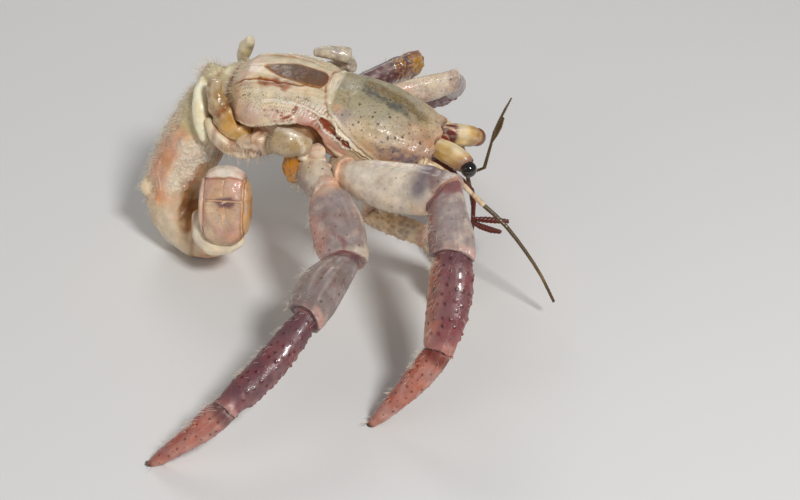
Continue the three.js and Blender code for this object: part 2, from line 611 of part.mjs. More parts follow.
function tailPieces() {
  const whole = pillow(0);
  const across = new THREE.Vector3(1, 0, 0);
  const along = new THREE.Vector3(0, 1, 0);
  const half = (solid, axis, level) => keepSide(solid, axis.clone().multiplyScalar(level), axis);
  const [right, left] = [across, across.clone().negate()];
  const [up, down] = [along, along.clone().negate()];
  const middle = half(half(whole, right, HALF_GAP - UROPOD_CUT), left, HALF_GAP - UROPOD_CUT);
  return [
    piece("tergite_6", half(middle, up, TERGITE_CUT + HALF_GAP), TAIL_PLATE),
    piece("telson", half(middle, down, HALF_GAP - TERGITE_CUT), TAIL_PLATE),
    piece("uropod_right", half(whole, right, UROPOD_CUT + HALF_GAP), TAIL_PLATE),
    piece("uropod_left", half(whole, left, UROPOD_CUT + HALF_GAP), TAIL_PLATE),
  ];
}
tail.add(...tailPieces());
const TAIL_ROOM = pillow(JOINT_GAP).transform(tail.matrix.toArray());

const crab = new THREE.Group();
crab.position.set(...STANCE_SHIFT);
crab.add(trunk, ...legs, ...claws, ...abdomen(), tail);
export default crab;
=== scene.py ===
"""The looks of a land hermit crab out of its shell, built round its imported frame.

Shapes are worked out in millimetres in the frame's own axes: +X to the head, -Y to the crab's
right, +Z up. They become metres when a mesh is made. Each skin starts from the frame's solids or
from balls along a line, which are wrapped finely, rounded, and given their relief and colour.
"""
import math
from collections import namedtuple
from types import SimpleNamespace

import bmesh
import bpy
import numpy as np
from mathutils import Matrix, Vector
from mathutils.kdtree import KDTree


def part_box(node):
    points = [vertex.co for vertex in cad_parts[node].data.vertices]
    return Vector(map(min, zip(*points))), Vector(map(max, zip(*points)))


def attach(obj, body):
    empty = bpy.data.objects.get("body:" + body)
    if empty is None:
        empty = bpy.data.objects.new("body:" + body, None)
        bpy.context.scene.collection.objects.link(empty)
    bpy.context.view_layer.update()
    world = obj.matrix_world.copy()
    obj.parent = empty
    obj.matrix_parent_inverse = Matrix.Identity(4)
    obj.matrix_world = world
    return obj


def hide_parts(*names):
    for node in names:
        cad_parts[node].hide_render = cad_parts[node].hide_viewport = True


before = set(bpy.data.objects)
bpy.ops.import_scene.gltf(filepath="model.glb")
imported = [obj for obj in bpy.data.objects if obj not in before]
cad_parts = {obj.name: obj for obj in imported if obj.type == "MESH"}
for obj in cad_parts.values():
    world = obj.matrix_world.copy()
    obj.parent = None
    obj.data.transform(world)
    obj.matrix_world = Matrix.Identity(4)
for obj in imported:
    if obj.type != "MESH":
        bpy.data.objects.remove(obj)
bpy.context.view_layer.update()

MM = 0.001
COAT_SEED = 7

# The trunk's own axes, as the solids have them: x forward from the neck groove, z up.
STANCE_SHIFT = np.array([4.504, 1.545, 0.0])
TRUNK_AT = np.array([-5.7, 1.5, 17.9]) + STANCE_SHIFT
TRUNK_YAW = math.radians(-13)
TRUNK_PITCH = math.radians(12)

# The tail's own axes: across it, up along it, and out of its face.
TAIL_AT = np.array([-17.1, -4.8, 9.8]) + STANCE_SHIFT
TAIL_FACES = np.array([-0.12, -0.84, 0.53])
TAIL_RISES = np.array([0.05, 0.5, 0.86])

# ---- camera, light and floor ---------------------------------------------------------------------
CAMERA_TARGET = Vector(STANCE_SHIFT + [1.7, 0, 0]) * MM
CAMERA_ELEVATION = math.radians(38)
CAMERA_DISTANCE = 153.33 * MM
CAMERA_BACK = Vector((0, -math.cos(CAMERA_ELEVATION), math.sin(CAMERA_ELEVATION)))
CAMERA_LENS = 60
CAMERA_SENSOR = 36
CAMERA_CLIP = (0.01, 10)  # metres

# Each lamp's place and width in metres, and its power in watts.
LAMPS = {
    "key": ((0.13, -0.20, 0.27), 0.07, 0.80),
    "fill": ((-0.30, -0.22, 0.16), 0.26, 0.155),
    "rim": ((-0.08, 0.30, 0.24), 0.16, 0.26),
}
LAMPS_AIM_AT = Vector((0, 0, 0.01))
SKY_COLOUR = (0.98, 0.97, 0.96, 1)
SKY_STRENGTH = 0.22
FLOOR_HALF = 1.5  # metres
FLOOR_COLOUR = (0.78, 0.77, 0.755, 1)
FLOOR_ROUGHNESS = 0.8


def aim(thing, target):
    thing.rotation_mode = "QUATERNION"
    thing.rotation_quaternion = (target - thing.location).to_track_quat("-Z", "Y")


def linked(name, data):
    """A new object of the scene that shows this data."""
    thing = bpy.data.objects.new(name, data)
    bpy.context.scene.collection.objects.link(thing)
    return thing


def fill(node, values):
    """Sets the unlinked inputs of a node."""
    for name, value in values.items():
        node.inputs[name].default_value = value


def add_camera():
    camera = linked("camera", bpy.data.cameras.new("camera"))
    camera.location = CAMERA_TARGET + CAMERA_BACK * CAMERA_DISTANCE
    aim(camera, CAMERA_TARGET)
    camera.data.lens = CAMERA_LENS
    camera.data.sensor_width = CAMERA_SENSOR
    camera.data.clip_start, camera.data.clip_end = CAMERA_CLIP
    bpy.context.scene.camera = camera


def add_lamp(name, place, size, power):
    data = bpy.data.lights.new(name, "AREA")
    data.shape = "DISK"
    data.size = size
    data.energy = power
    lamp = linked(name, data)
    lamp.location = place
    aim(lamp, LAMPS_AIM_AT)


def add_studio():
    for name, (place, size, power) in LAMPS.items():
        add_lamp(name, place, size, power)
    world = bpy.data.worlds.new("studio")
    world.use_nodes = True
    fill(world.node_tree.nodes["Background"], {"Color": SKY_COLOUR, "Strength": SKY_STRENGTH})
    bpy.context.scene.world = world
    bpy.context.scene.view_settings.view_transform = "Standard"


def add_floor():
    signs = [(-1, -1), (1, -1), (1, 1), (-1, 1)]
    mesh = bpy.data.meshes.new("floor")
    mesh.from_pydata([(x * FLOOR_HALF, y * FLOOR_HALF, 0) for x, y in signs], [], [(0, 1, 2, 3)])
    floor = linked("floor", mesh)
    material = bpy.data.materials.new("floor")
    material.use_nodes = True
    shader = material.node_tree.nodes["Principled BSDF"]
    fill(shader, {"Base Color": FLOOR_COLOUR, "Roughness": FLOOR_ROUGHNESS})
    mesh.materials.append(material)


# ---- colours -------------------------------------------------------------------------------------
def rgb(code):
    """The linear colour of a hex code."""
    parts = np.array([int(code[i : i + 2], 16) for i in (1, 3, 5)]) / 255
    return np.where(parts <= 0.04045, parts / 12.92, ((parts + 0.055) / 1.055) ** 2.4)


CREAM = rgb("#e0cbae")
PALE_CREAM = rgb("#ecdcbf")
YELLOW_CREAM = rgb("#dacda6")
# Near white, paler than the lobe's own cream: painted light on a lobe that lies partly in shade.
LEAF_CREAM = rgb("#fff4d6")
PEACH = rgb("#e0b492")
SALMON = rgb("#d69a7e")
PINK = rgb("#d3a093")
GLOW_WHITE = rgb("#eee2d0")
SHIELD_BEIGE = rgb("#d2ba9b")
SHIELD_GREEN = rgb("#aca186")
SHIELD_ROSE = rgb("#ae866f")
SLATE = rgb("#56564f")
SLATE_PURPLE = rgb("#6a5c66")
OLIVE = rgb("#75613c")
LAVENDER = rgb("#a0908c")
GREY_LAVENDER = rgb("#877873")
LAVENDER_PALE = rgb("#e0cfba")
PLUM = rgb("#68464c")
MAUVE = rgb("#8f5d5c")
ROSE = rgb("#ac665c")
DACTYL_PINK = rgb("#b87c6d")
CORAL = rgb("#c56a58")
BRICK = rgb("#86493c")
DOT_RED = rgb("#4c181b")
DOT_BROWN = rgb("#3d2a20")
RUST = rgb("#96501f")
OCHRE = rgb("#a86f38")
BLOOD = rgb("#74261a")
SLOT_RED = rgb("#8e2c1a")
OVAL_BEIGE = rgb("#b49b76")
# Paler than the claw's own brown, as painted light, since the claw lies in the shade of the leg
# above it.
CLAW_BROWN = rgb("#ecd4b0")
TAIL_BEIGE = rgb("#c8a688")
GOLDEN_BROWN = rgb("#94672f")
PANEL_TAUPE = rgb("#5c2a04")
AMBER = rgb("#d08a22")
GOLD = rgb("#cfa052")
TAN = rgb("#b3946a")
STALK_CREAM = rgb("#e0c48c")
NEAR_BLACK = rgb("#0e0807")
WHIP_OLIVE = rgb("#5e4a2c")
BRUSH_RED = rgb("#641f0e")
SILVER = rgb("#c8baa2")


# ---- arithmetic ----------------------------------------------------------------------------------
def lengths_of(vectors):
    return np.linalg.norm(vectors, axis=-1)


def unit(vectors):
    return vectors / np.maximum(np.linalg.norm(vectors, axis=-1, keepdims=True), 1e-12)


def ramp(low, high, x):
    """Smoothly from 0 at low to 1 at high. High may be the smaller."""
    t = np.clip((x - low) / (high - low), 0, 1)
    return t * t * (3 - 2 * t)


def bell(centre, width, x):
    return np.exp(-(((x - centre) / width) ** 2))


def chance(cell, salt):
    """A number from 0 to 1 for each whole-number cell, the same on every run."""
    x, y, z = (cell[..., i].astype(np.int64) for i in range(3))
    mixed = (x * 73856093) ^ (y * 19349663) ^ (z * 83492791) ^ (salt * 2654435761)
    mixed = (mixed ^ (mixed >> 13)) * 1274126177
    mixed = mixed ^ (mixed >> 16)
    return (mixed & 0xFFFFFF) / 0xFFFFFF


def noise(points, size, salt):
    """Smooth noise from -1 to 1 whose bumps are about size mm across. Each salt gives another."""
    scaled = points / size
    base = np.floor(scaled)
    share = scaled - base
    share = share * share * (3 - 2 * share)
    total = np.zeros(len(points))
    for corner in np.ndindex(2, 2, 2):
        weight = np.prod(np.where(corner, share, 1 - share), axis=-1)
        total += weight * chance(base + np.array(corner), salt)
    return 2 * total - 1


def rough_noise(points, size, salt):
    """Noise with finer noise on it, twice."""
    return sum(noise(points, size / 2**i, salt + i) / 2**i for i in range(3))


def scatter(points, size, salt):
    """Distances in mm to the nearest and next of seeds about size apart, and a number from 0 to 1
    that belongs to the nearest."""
    scaled = points / size
    base = np.floor(scaled)
    nearest = np.full(len(points), 9.0)
    following = nearest.copy()
    own = np.zeros(len(points))
    for offset in np.ndindex(3, 3, 3):
        cell = base + np.array(offset) - 1
        seed = cell + np.stack([chance(cell, salt + i) for i in range(3)], axis=-1)
        distance = lengths_of(scaled - seed)
        closer = distance < nearest
        following = np.where(closer, nearest, np.minimum(following, distance))
        own = np.where(closer, chance(cell, salt + 3), own)
        nearest = np.minimum(nearest, distance)
    return nearest * size, following * size, own


def strewn(points, apart, random):
    """Places on a surface, spread unevenly, none much nearer to another than apart."""
    order = random.permutation(len(points))
    cells = np.floor(points[order] / apart + random.random(3)).astype(int)
    _, first = np.unique(cells, axis=0, return_index=True)
    kept = np.empty((0, 3))
    for place in points[order[random.permutation(first)]]:
        if np.all(lengths_of(kept - place) > 0.8 * apart):
            kept = np.vstack([kept, place])
    return kept


def nearest_of(points, seeds):
    """The distance from each point to the nearest seed, and that seed's number."""
    tree = KDTree(len(seeds))
    for i, seed in enumerate(seeds):
        tree.insert(seed, i)
    tree.balance()
    found = [tree.find(point) for point in points.tolist()]
    return np.array([hit[2] for hit in found]), np.array([hit[1] for hit in found])


def wander(points, amount, size, salt):
    """The points pushed about smoothly, so that what is drawn from them has uneven edges."""
    pushes = [noise(points, size, salt + 10 * i) for i in range(3)]
    return points + amount * np.stack(pushes, axis=-1)


def line_distance(points, line):
    """The distance from each point to a chain of straight stretches, and how far along, 0 to 1."""
    line = np.asarray(line, float)
    lengths = lengths_of(np.diff(line, axis=0))
    reached = np.concatenate([[0], np.cumsum(lengths)]) / lengths.sum()
    best = np.full(len(points), 1e9)
    share = np.zeros(len(points))
    for a, b, start, end in zip(line, line[1:], reached, reached[1:]):
        t = np.clip((points - a) @ (b - a) / ((b - a) @ (b - a)), 0, 1)
        distance = lengths_of(points - a - t[:, None] * (b - a))
        closer = distance < best
        best = np.where(closer, distance, best)
        share = np.where(closer, start + (end - start) * t, share)
    return best, share


def on_line(points, line, width):
    """1 on the line, falling to 0 at this distance from it."""
    return ramp(width, width * 0.35, line_distance(points, line)[0])


def on_spot(points, centre, size):
    """1 in the middle of an ellipsoid with these half sizes, falling to 0 at its edge."""
    return ramp(1.0, 0.45, lengths_of((points - np.array(centre)) / size))


def trunk_turn():
    (cy, sy), (cp, sp) = ((math.cos(a), math.sin(a)) for a in (TRUNK_YAW, TRUNK_PITCH))
    yaw = np.array([[cy, -sy, 0], [sy, cy, 0], [0, 0, 1]])
    pitch = np.array([[cp, 0, sp], [0, 1, 0], [-sp, 0, cp]])
    return yaw @ pitch


def to_trunk(points):
    return (points - TRUNK_AT) @ trunk_turn()


def from_trunk(points):
    return np.asarray(points, float) @ trunk_turn().T + TRUNK_AT


def tail_turn():
    out = unit(TAIL_FACES)
    rise = unit(TAIL_RISES - out * (TAIL_RISES @ out))
    return np.stack([np.cross(rise, out), rise, out], axis=1)


def to_tail(points):
    return (points - TAIL_AT) @ tail_turn()


def from_tail(points):
    return np.asarray(points, float) @ tail_turn().T + TAIL_AT


# ---- skins ---------------------------------------------------------------------------------------
HOLLOW_ROUNDS = 16  # how much a skin is smoothed to tell its hollows from its ridges


class Skin:
    """A surface being shaped and coloured, in millimetres."""

    def __init__(self, points, quads, base_colour):
        self.points = points
        self.quads = quads
        self.tint = np.tile(base_colour, (len(points), 1))
        self.wet = np.ones(len(points))

    def normals(self):
        a, b, c, d = (self.points[self.quads[:, i]] for i in range(4))
        facing = np.cross(c - a, d - b)
        count = len(self.points)
        total = np.zeros((count, 3))
        for corner in range(4):
            for axis in range(3):
                total[:, axis] += np.bincount(self.quads[:, corner], facing[:, axis], count)
        return unit(total)

    def blurred(self, rounds):
        """The points after each has moved to the middle of its neighbours this many times."""
        here = self.quads.ravel()
        there = np.roll(self.quads, -1, axis=1).ravel()
        shares = np.maximum(np.bincount(here, minlength=len(self.points)), 1)
        soft = self.points.copy()
        for _ in range(rounds):
            sums = [np.bincount(here, soft[there, axis], len(soft)) for axis in range(3)]
            soft = np.stack(sums, axis=1) / shares[:, None]
        return soft

    def depth(self):
        """How many mm each point lies below its surroundings; negative on a ridge."""
        return np.sum((self.blurred(HOLLOW_ROUNDS) - self.points) * self.normals(), axis=1)

    def lift(self, height):
        """Moves the surface outwards by this many mm."""
        height = np.broadcast_to(height, len(self.points))
        self.points = self.points + self.normals() * height[:, None]

    def paint(self, colour, amount):
        amount = np.clip(np.broadcast_to(amount, len(self.points)), 0, 1)[:, None]
        self.tint = self.tint + (colour - self.tint) * amount

    def paint_hollow_shade(self, colour, amount, full=0.07):
        """Paints shade of this colour in the hollows, most from full mm deep on, and a painted
        highlight of pale white on the ridges.
        """
        depth = self.depth()
        self.paint(colour, amount * ramp(0.08 * full, full, depth))
        self.paint(GLOW_WHITE, 0.3 * amount * ramp(-0.3 * full, -full, depth))

    def keep_above_floor(self, level=0.0):
        self.points[:, 2] = np.maximum(self.points[:, 2], level)


def frame_points(node):
    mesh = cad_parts[node].data
    points = np.zeros(len(mesh.vertices) * 3, np.float32)
    mesh.vertices.foreach_get("co", points)
    return points.reshape(-1, 3).astype(float) / MM


def node_shape(node, swell):
    """Corners and faces of a frame node in mm, moved outwards by swell."""
    shape = bmesh.new()
    shape.from_mesh(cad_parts[node].data)
    shape.transform(Matrix.Scale(1 / MM, 4))
    bmesh.ops.remove_doubles(shape, verts=shape.verts, dist=1e-3)
    shape.normal_update()
    return corners_and_faces(shape, lambda vertex: vertex.co + vertex.normal * swell)


def ball_shape(centre, radius):
    shape = bmesh.new()
    bmesh.ops.create_icosphere(shape, subdivisions=2, radius=1)
    return corners_and_faces(shape, lambda v: Vector(np.array(v.co) * radius + centre))


def corners_and_faces(shape, place):
    shape.verts.index_update()
    points = [place(vertex) for vertex in shape.verts]
    faces = [[vertex.index for vertex in face.verts] for face in shape.faces]
    shape.free()
    return points, faces


def string_of(line, sizes):
    """Balls along a line that melt into one soft bar. Sizes are radii, spread evenly along it."""
    line = np.asarray(line, float)
    reached = np.concatenate([[0], np.cumsum(lengths_of(np.diff(line, axis=0)))])
    count = max(2, math.ceil(reached[-1] / (0.45 * min(sizes))))
    balls = []
    for share in np.linspace(0, 1, count):
        centre = [np.interp(share * reached[-1], reached, line[:, axis]) for axis in range(3)]
        balls.append((np.array(centre), np.interp(share, np.linspace(0, 1, len(sizes)), sizes)))
    return balls


def wrapped(nodes, voxel, rounding, base, swell=0.0, lumps=()):
    """One smooth skin round frame nodes and lumps. Swell closes the cuts between the nodes."""
    shapes = [node_shape(node, swell) for node in nodes]
    shapes += [ball_shape(centre, radius + swell) for centre, radius in lumps]
    points, faces = [], []
    for corners, rings in shapes:
        start = len(points)
        points.extend(corners)
        faces.extend([start + i for i in ring] for ring in rings)
    joined = bpy.data.meshes.new("wrap")
    joined.from_pydata(points, [], faces)
    scratch = linked("wrap", joined)
    remesh = scratch.modifiers.new("wrap", "REMESH")
    remesh.mode = "VOXEL"
    remesh.voxel_size = voxel
    smooth = scratch.modifiers.new("round", "SMOOTH")
    smooth.factor = 0.5
    smooth.iterations = max(1, round(4 * (rounding / voxel) ** 2))
    view = bpy.context.evaluated_depsgraph_get()
    result = bpy.data.meshes.new_from_object(scratch.evaluated_get(view))
    places = np.zeros(len(result.vertices) * 3, np.float32)
    result.vertices.foreach_get("co", places)
    quads = np.zeros(len(result.polygons) * 4, np.int64)
    result.polygons.foreach_get("vertices", quads)
    bpy.data.objects.remove(scratch)
    bpy.data.meshes.remove(joined)
    bpy.data.meshes.remove(result)
    skin = Skin(places.reshape(-1, 3).astype(float), quads.reshape(-1, 4), base)
    skin.lift(-swell)
    return skin


def add_piece(name, points, faces, tint, wet, material):
    """Makes an object of the crab, in metres, with a colour and a wetness at each corner."""
    mesh = bpy.data.meshes.new(name)
    mesh.from_pydata((points * MM).tolist(), [], faces)
    mesh.polygons.foreach_set("use_smooth", np.ones(len(mesh.polygons), bool))
    rgba = np.ones((len(points), 4), np.float32)
    rgba[:, :3] = np.clip(tint, 0, 1)
    mesh.attributes.new("tint", "FLOAT_COLOR", "POINT").data.foreach_set("color", rgba.ravel())
    mesh.attributes.new("wet", "FLOAT", "POINT").data.foreach_set("value", wet.astype(np.float32))
    mesh.materials.append(material)
    piece = linked(name, mesh)
    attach(piece, "root")
    return piece


def show(name, skin, material, replaced=()):
    piece = add_piece(name, skin.points, skin.quads.tolist(), skin.tint, skin.wet, material)
    if replaced:
        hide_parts(*replaced)


# ---- materials -----------------------------------------------------------------------------------
COAT_ROUGHNESS = 0.10
FLESH_RADIUS = (1.0, 0.40, 0.25)  # how far red, green and blue light goes in, one to another
FLESH_DEPTH = 0.5  # mm
RELIEF_STRENGTH = 0.6


def finish(name, roughness, coat, subsurface, mottle, pore, bump, speck=None):
    """A damp, slightly uneven surface over the skin's own tint. Mottle and pore are the sizes of
    its patches and pores, and bump the pores' depth, in mm."""
    material = bpy.data.materials.new(name)
    material.use_nodes = True
    tree = material.node_tree
    nodes = tree.nodes
    link = tree.links.new
    shader = nodes["Principled BSDF"]
    fill(shader, {
        "Coat Weight": coat,
        "Coat Roughness": COAT_ROUGHNESS,
        "Subsurface Weight": subsurface,
        "Subsurface Radius": FLESH_RADIUS,
        "Subsurface Scale": FLESH_DEPTH * MM,
    })

    def new(kind, **values):
        node = nodes.new(kind)
        for key, value in values.items():
            setattr(node, key, value)
        return node

    def spread(size, detail):
        texture = new("ShaderNodeTexNoise")
        fill(texture, {"Scale": 1 / (size * MM), "Detail": detail})
        link(place.outputs["Object"], texture.inputs["Vector"])
        return texture.outputs["Fac"]

    def mapped(value, low, high, to_low, to_high):
        node = new("ShaderNodeMapRange")
        fill(node, {"From Min": low, "From Max": high, "To Min": to_low, "To Max": to_high})
        link(value, node.inputs["Value"])
        return node.outputs["Result"]

    place = new("ShaderNodeTexCoord")
    tint = new("ShaderNodeAttribute", attribute_name="tint")
    wet = new("ShaderNodeAttribute", attribute_name="wet")
    shade = new("ShaderNodeHueSaturation")
    link(tint.outputs["Color"], shade.inputs["Color"])
    link(mapped(spread(mottle, 6), 0.3, 0.7, 0.82, 1.15), shade.inputs["Value"])
    link(mapped(spread(mottle * 2.3, 2), 0.3, 0.7, 0.9, 1.25), shade.inputs["Saturation"])
    colour = shade.outputs["Color"]
    if speck:
        dots = new("ShaderNodeTexVoronoi")
        fill(dots, {"Scale": 1 / (speck["apart"] * MM)})
        link(place.outputs["Object"], dots.inputs["Vector"])
        near = mapped(dots.outputs["Distance"], speck["size"] * 0.6, speck["size"], 1, 0)
        chosen = new("ShaderNodeSeparateColor")
        link(dots.outputs["Color"], chosen.inputs["Color"])
        kept = mapped(chosen.outputs["Red"], speck["few"], speck["few"] + 0.1, 0, speck["depth"])
        both = new("ShaderNodeMath", operation="MULTIPLY")
        link(near, both.inputs[0])
        link(kept, both.inputs[1])
        layer = new("ShaderNodeMix", data_type="RGBA")
        link(both.outputs[0], layer.inputs["Factor"])
        link(colour, layer.inputs["A"])
        fill(layer, {"B": (*speck["colour"], 1)})
        colour = layer.outputs["Result"]
    link(colour, shader.inputs["Base Color"])
    dry = mapped(spread(pore * 3, 3), 0.3, 0.7, roughness * 0.75, roughness * 1.35)
    matte = new("ShaderNodeMath", operation="DIVIDE")
    link(dry, matte.inputs[0])
    link(wet.outputs["Fac"], matte.inputs[1])
    link(matte.outputs[0], shader.inputs["Roughness"])
    relief = new("ShaderNodeBump")
    fill(relief, {"Strength": RELIEF_STRENGTH, "Distance": bump * MM})
    link(spread(pore, 4), relief.inputs["Height"])
    link(relief.outputs["Normal"], shader.inputs["Normal"])
    return material


# Few is the share of seeds without a speck, and depth how strong the specks are.
FINE_SPECKS = {"apart": 0.55, "size": 0.15, "few": 0.5, "depth": 0.45, "colour": DOT_BROWN}
LEG_SPECKS = {**FINE_SPECKS, "apart": 0.45, "few": 0.6, "depth": 0.3}

# Roughness, coat, subsurface, mottle, pore and bump of each.
ARMOUR = finish("armour", 0.40, 0.22, 0.12, 1.1, 0.20, 0.06, FINE_SPECKS)
LEG_ARMOUR = finish("leg_armour", 0.38, 0.34, 0.12, 0.9, 0.16, 0.06, LEG_SPECKS)
FLESH = finish("flesh", 0.34, 0.16, 0.28, 1.3, 0.22, 0.07)
MEMBRANE = finish("membrane", 0.36, 0.35, 0.15, 0.8, 0.2, 0.05)
GLASSY_FLESH = finish("glassy_flesh", 0.16, 0.8, 0.55, 0.9, 0.3, 0.03)
CLAW_ARMOUR = finish("claw_armour", 0.42, 0.25, 0.08, 1.0, 0.2, 0.06)
GLASSY_EYE = finish("glassy_eye", 0.06, 1.0, 0.0, 0.5, 0.6, 0.002)
FEELER = finish("feeler", 0.46, 0.12, 0.05, 0.4, 0.1, 0.02)
BRISTLE = finish("bristle", 0.45, 0.1, 0.0, 2.0, 0.4, 0.005)


# ---- bristles ------------------------------------------------------------------------------------
BRISTLE_SIDES = 3
BRISTLE_STEPS = 3
BRISTLE_LENGTHS = (0.45, 1.3)  # the shortest and longest, as shares of the length asked for
BRISTLE_BEND = 0.22  # how far a tip leans over, as a share of its length
BRISTLE_ROOT = 0.04  # how much of it is under the skin
ASKEW = (0.31, 0.52, 0.79)  # a direction that no bristle takes
PATCH = 0.003  # across, on the map that the coat's colours are read through
FLOOR_CLEARANCE = 0.03


class Coat:
    """Bristles gathered from several skins into one piece."""

    def __init__(self, seed):
        self.random = np.random.default_rng(seed)
        self.points, self.faces, self.maps, self.tints = [], [], [], []
        self.count = 0

    def grow(self, skin, weight, unwrap, count, length, lie, colour=GLOW_WHITE, thick=0.018,
             stand=0.7):
        """Grows count bristles where weight is high. Lie is the way they lean, and stand how much
        they stick out. Unwrap is each point's place on the coat's map."""
        a, b, c, d = (skin.points[skin.quads[:, i]] for i in range(4))
        area = lengths_of(np.cross(c - a, d - b))
        share = area * weight[skin.quads[:, 0]]
        picks = self.random.choice(len(share), count, p=share / share.sum())
        roots = skin.quads[picks, 0]
        lean = np.broadcast_to(lie, (len(skin.points), 3))[roots]
        astray = self.random.normal(0, 0.2, (count, 3))
        heading = unit(skin.normals()[roots] * stand + lean + astray)
        lengths = length * self.random.uniform(*BRISTLE_LENGTHS, (count, 1))
        side = unit(np.cross(heading, ASKEW))
        other = np.cross(heading, side)
        rings, maps = [], []
        for step in range(BRISTLE_STEPS + 1):
            t = step / BRISTLE_STEPS
            bend = unit(lean) * BRISTLE_BEND * t * t
            middle = skin.points[roots] + lengths * (heading * (t - BRISTLE_ROOT) + bend)
            reach = thick * (1 - 0.7 * t) if step < BRISTLE_STEPS else 0
            for k in range(BRISTLE_SIDES if step < BRISTLE_STEPS else 1):
                angle = 2 * math.pi * k / BRISTLE_SIDES
                rings.append(middle + reach * (side * math.cos(angle) + other * math.sin(angle)))
                maps.append(unwrap[roots] + PATCH * np.array([k / BRISTLE_SIDES - 0.5, t - 0.5]))
        per_bristle = len(rings)
        points = np.stack(rings, axis=1).reshape(-1, 3)
        points[:, 2] = np.maximum(points[:, 2], FLOOR_CLEARANCE)
        starts = self.count + np.arange(count)[:, None] * per_bristle
        tips = starts + per_bristle - 1
        for step in range(BRISTLE_STEPS):
            for k in range(BRISTLE_SIDES):
                a = starts + step * BRISTLE_SIDES + k
                b = starts + step * BRISTLE_SIDES + (k + 1) % BRISTLE_SIDES
                if step < BRISTLE_STEPS - 1:
                    ring = [a, b, b + BRISTLE_SIDES, a + BRISTLE_SIDES]
                else:
                    ring = [a, b, tips]
                self.faces.extend(np.concatenate(ring, axis=1).tolist())
        self.faces.extend(np.concatenate([starts + 2, starts + 1, starts], axis=1).tolist())
        self.points.append(points)
        self.maps.append(np.stack(maps, axis=1).reshape(-1, 2))
        self.tints.append(np.tile(colour, (len(points), 1)))
        self.count += len(points)

    def show(self, name, slot):
        points = np.concatenate(self.points)
        tint = np.concatenate(self.tints)
        piece = add_piece(name, points, self.faces, tint, np.ones(len(points)), BRISTLE)
        mesh = piece.data
        corners = np.zeros(len(mesh.loops), np.int64)
        mesh.loops.foreach_get("vertex_index", corners)
        layer = mesh.uv_layers.new(name="OFBake")
        maps = np.concatenate(self.maps).astype(np.float32)
        layer.uv.foreach_set("vector", maps[corners].ravel())


# ---- limbs ---------------------------------------------------------------------------------------
SHOWN_SIDE = unit(np.array([0, -0.79, 0.62]))  # the side of a limb that faces up and to the right
LOW_SIDE = unit(np.array([0, -0.62, -0.79]))  # and the side that faces down and to the right
CUT_DEPTH = 0.6  # how much further than the nearest a corner may be, and still belong to a cut


def joint(node, neighbour):
    """Where two articles meet: the middle of the node's corners at the cut."""
    points = frame_points(node)
    gaps = lengths_of(points[:, None] - frame_points(neighbour)).min(axis=1)
    return points[gaps < gaps.min() + CUT_DEPTH].mean(axis=0)


def near_end(node, start):
    """The end of a node that lies nearest to a point."""
    points = frame_points(node)
    away = lengths_of(points - start)
    return points[away < away.min() + CUT_DEPTH].mean(axis=0)


def far_end(node, start, depth=0.5):
    """The end of a node that lies furthest from a point."""
    points = frame_points(node)
    away = lengths_of(points - start)
    return points[away > away.max() - depth].mean(axis=0)


def joints_of(nodes):
    """The ends of a limb's articles, from the body outwards."""
    between = [joint(a, b) for a, b in zip(nodes, nodes[1:])]
    return [far_end(nodes[0], between[0]), *between, far_end(nodes[-1], between[-1])]


CORE_CLEARANCE = 0.05  # how far the skin inside a limb stays off the floor
SOFT_ROUNDS = 60  # of blurring, to round an article or draw a core in


def limb_core(nodes, ends, sink):
    """The skin inside a limb, drawn well in away from the joints, where nothing of it shows."""
    core = wrapped(nodes, voxel=0.22, rounding=0.28, base=PINK, swell=0.25)
    core.lift(-sink)
    away = np.min([lengths_of(core.points - end) for end in ends], axis=0)
    inwards = core.blurred(SOFT_ROUNDS) - core.points
    core.points = core.points + inwards * ramp(1.2, 2.2, away)[:, None]
    return core


def show_core(name, core):
    core.keep_above_floor(CORE_CLEARANCE)
    show(f"{name}_joint_skin", core, MEMBRANE)


class Measure:
    """Where the points of an article lie, along it from 0 at the body to 1 and round it, and how
    much its surface faces the shown side, the head, the low side and the article's end."""

    def __init__(self, skin, start, end):
        self.length = np.linalg.norm(end - start)
        self.axis = (end - start) / self.length
        self.along = (skin.points - start) @ self.axis / self.length
        front = unit(SHOWN_SIDE - self.axis * (SHOWN_SIDE @ self.axis))
        side = np.cross(self.axis, front)
        if side[0] < 0:
            side = -side
        out = skin.points - start - np.outer(self.along * self.length, self.axis)
        self.angle = np.arctan2(out @ side, out @ front)
        normals = skin.normals()
        self.front = normals @ front
        self.head_side = normals @ side
        self.low = normals @ LOW_SIDE
        self.end_facing = normals @ self.axis
        self.outward = unit(normals - np.outer(normals @ self.axis, self.axis))


LIP = 0.06  # how far the rim of an article stands out
TUCK = 0.15  # how much thinner the next article's neck is, inside that rim
OVERLAP = 0.34  # how far each of them runs on over the cut between the two
NOTCH = 0.45  # how far the rim is set back where the next article folds up

# Articles whose rims reach further on the head side, or whose rims and necks stand out less.
SLANTS = {"leg_3_right_carpus": 0.5, "leg_2_right_carpus": 0.35}
SOFT_RIMS = {"leg_2_right_merus": -0.04, "leg_3_right_carpus": 0.0}
SOFT_NECKS = {"leg_2_right_carpus": 0.05, "leg_3_right_propodus": 0.08}


KEPT_END = 1.2  # how much of an article's ends stays as it is, in mm
KEPT_TIP = 4.0  # and of a dactyl's thin tip


def softened(skin, at, rounds=SOFT_ROUNDS, kept_end=KEPT_END):
    """Rounds off the flat sides between an article's ends."""
    past_start = ramp(0.0, KEPT_END / at.length, at.along)
    middle = past_start * ramp(1.0, 1 - kept_end / at.length, at.along)
    skin.points = skin.points + (skin.blurred(rounds) - skin.points) * middle[:, None]
    skin.lift(0.07 * middle)


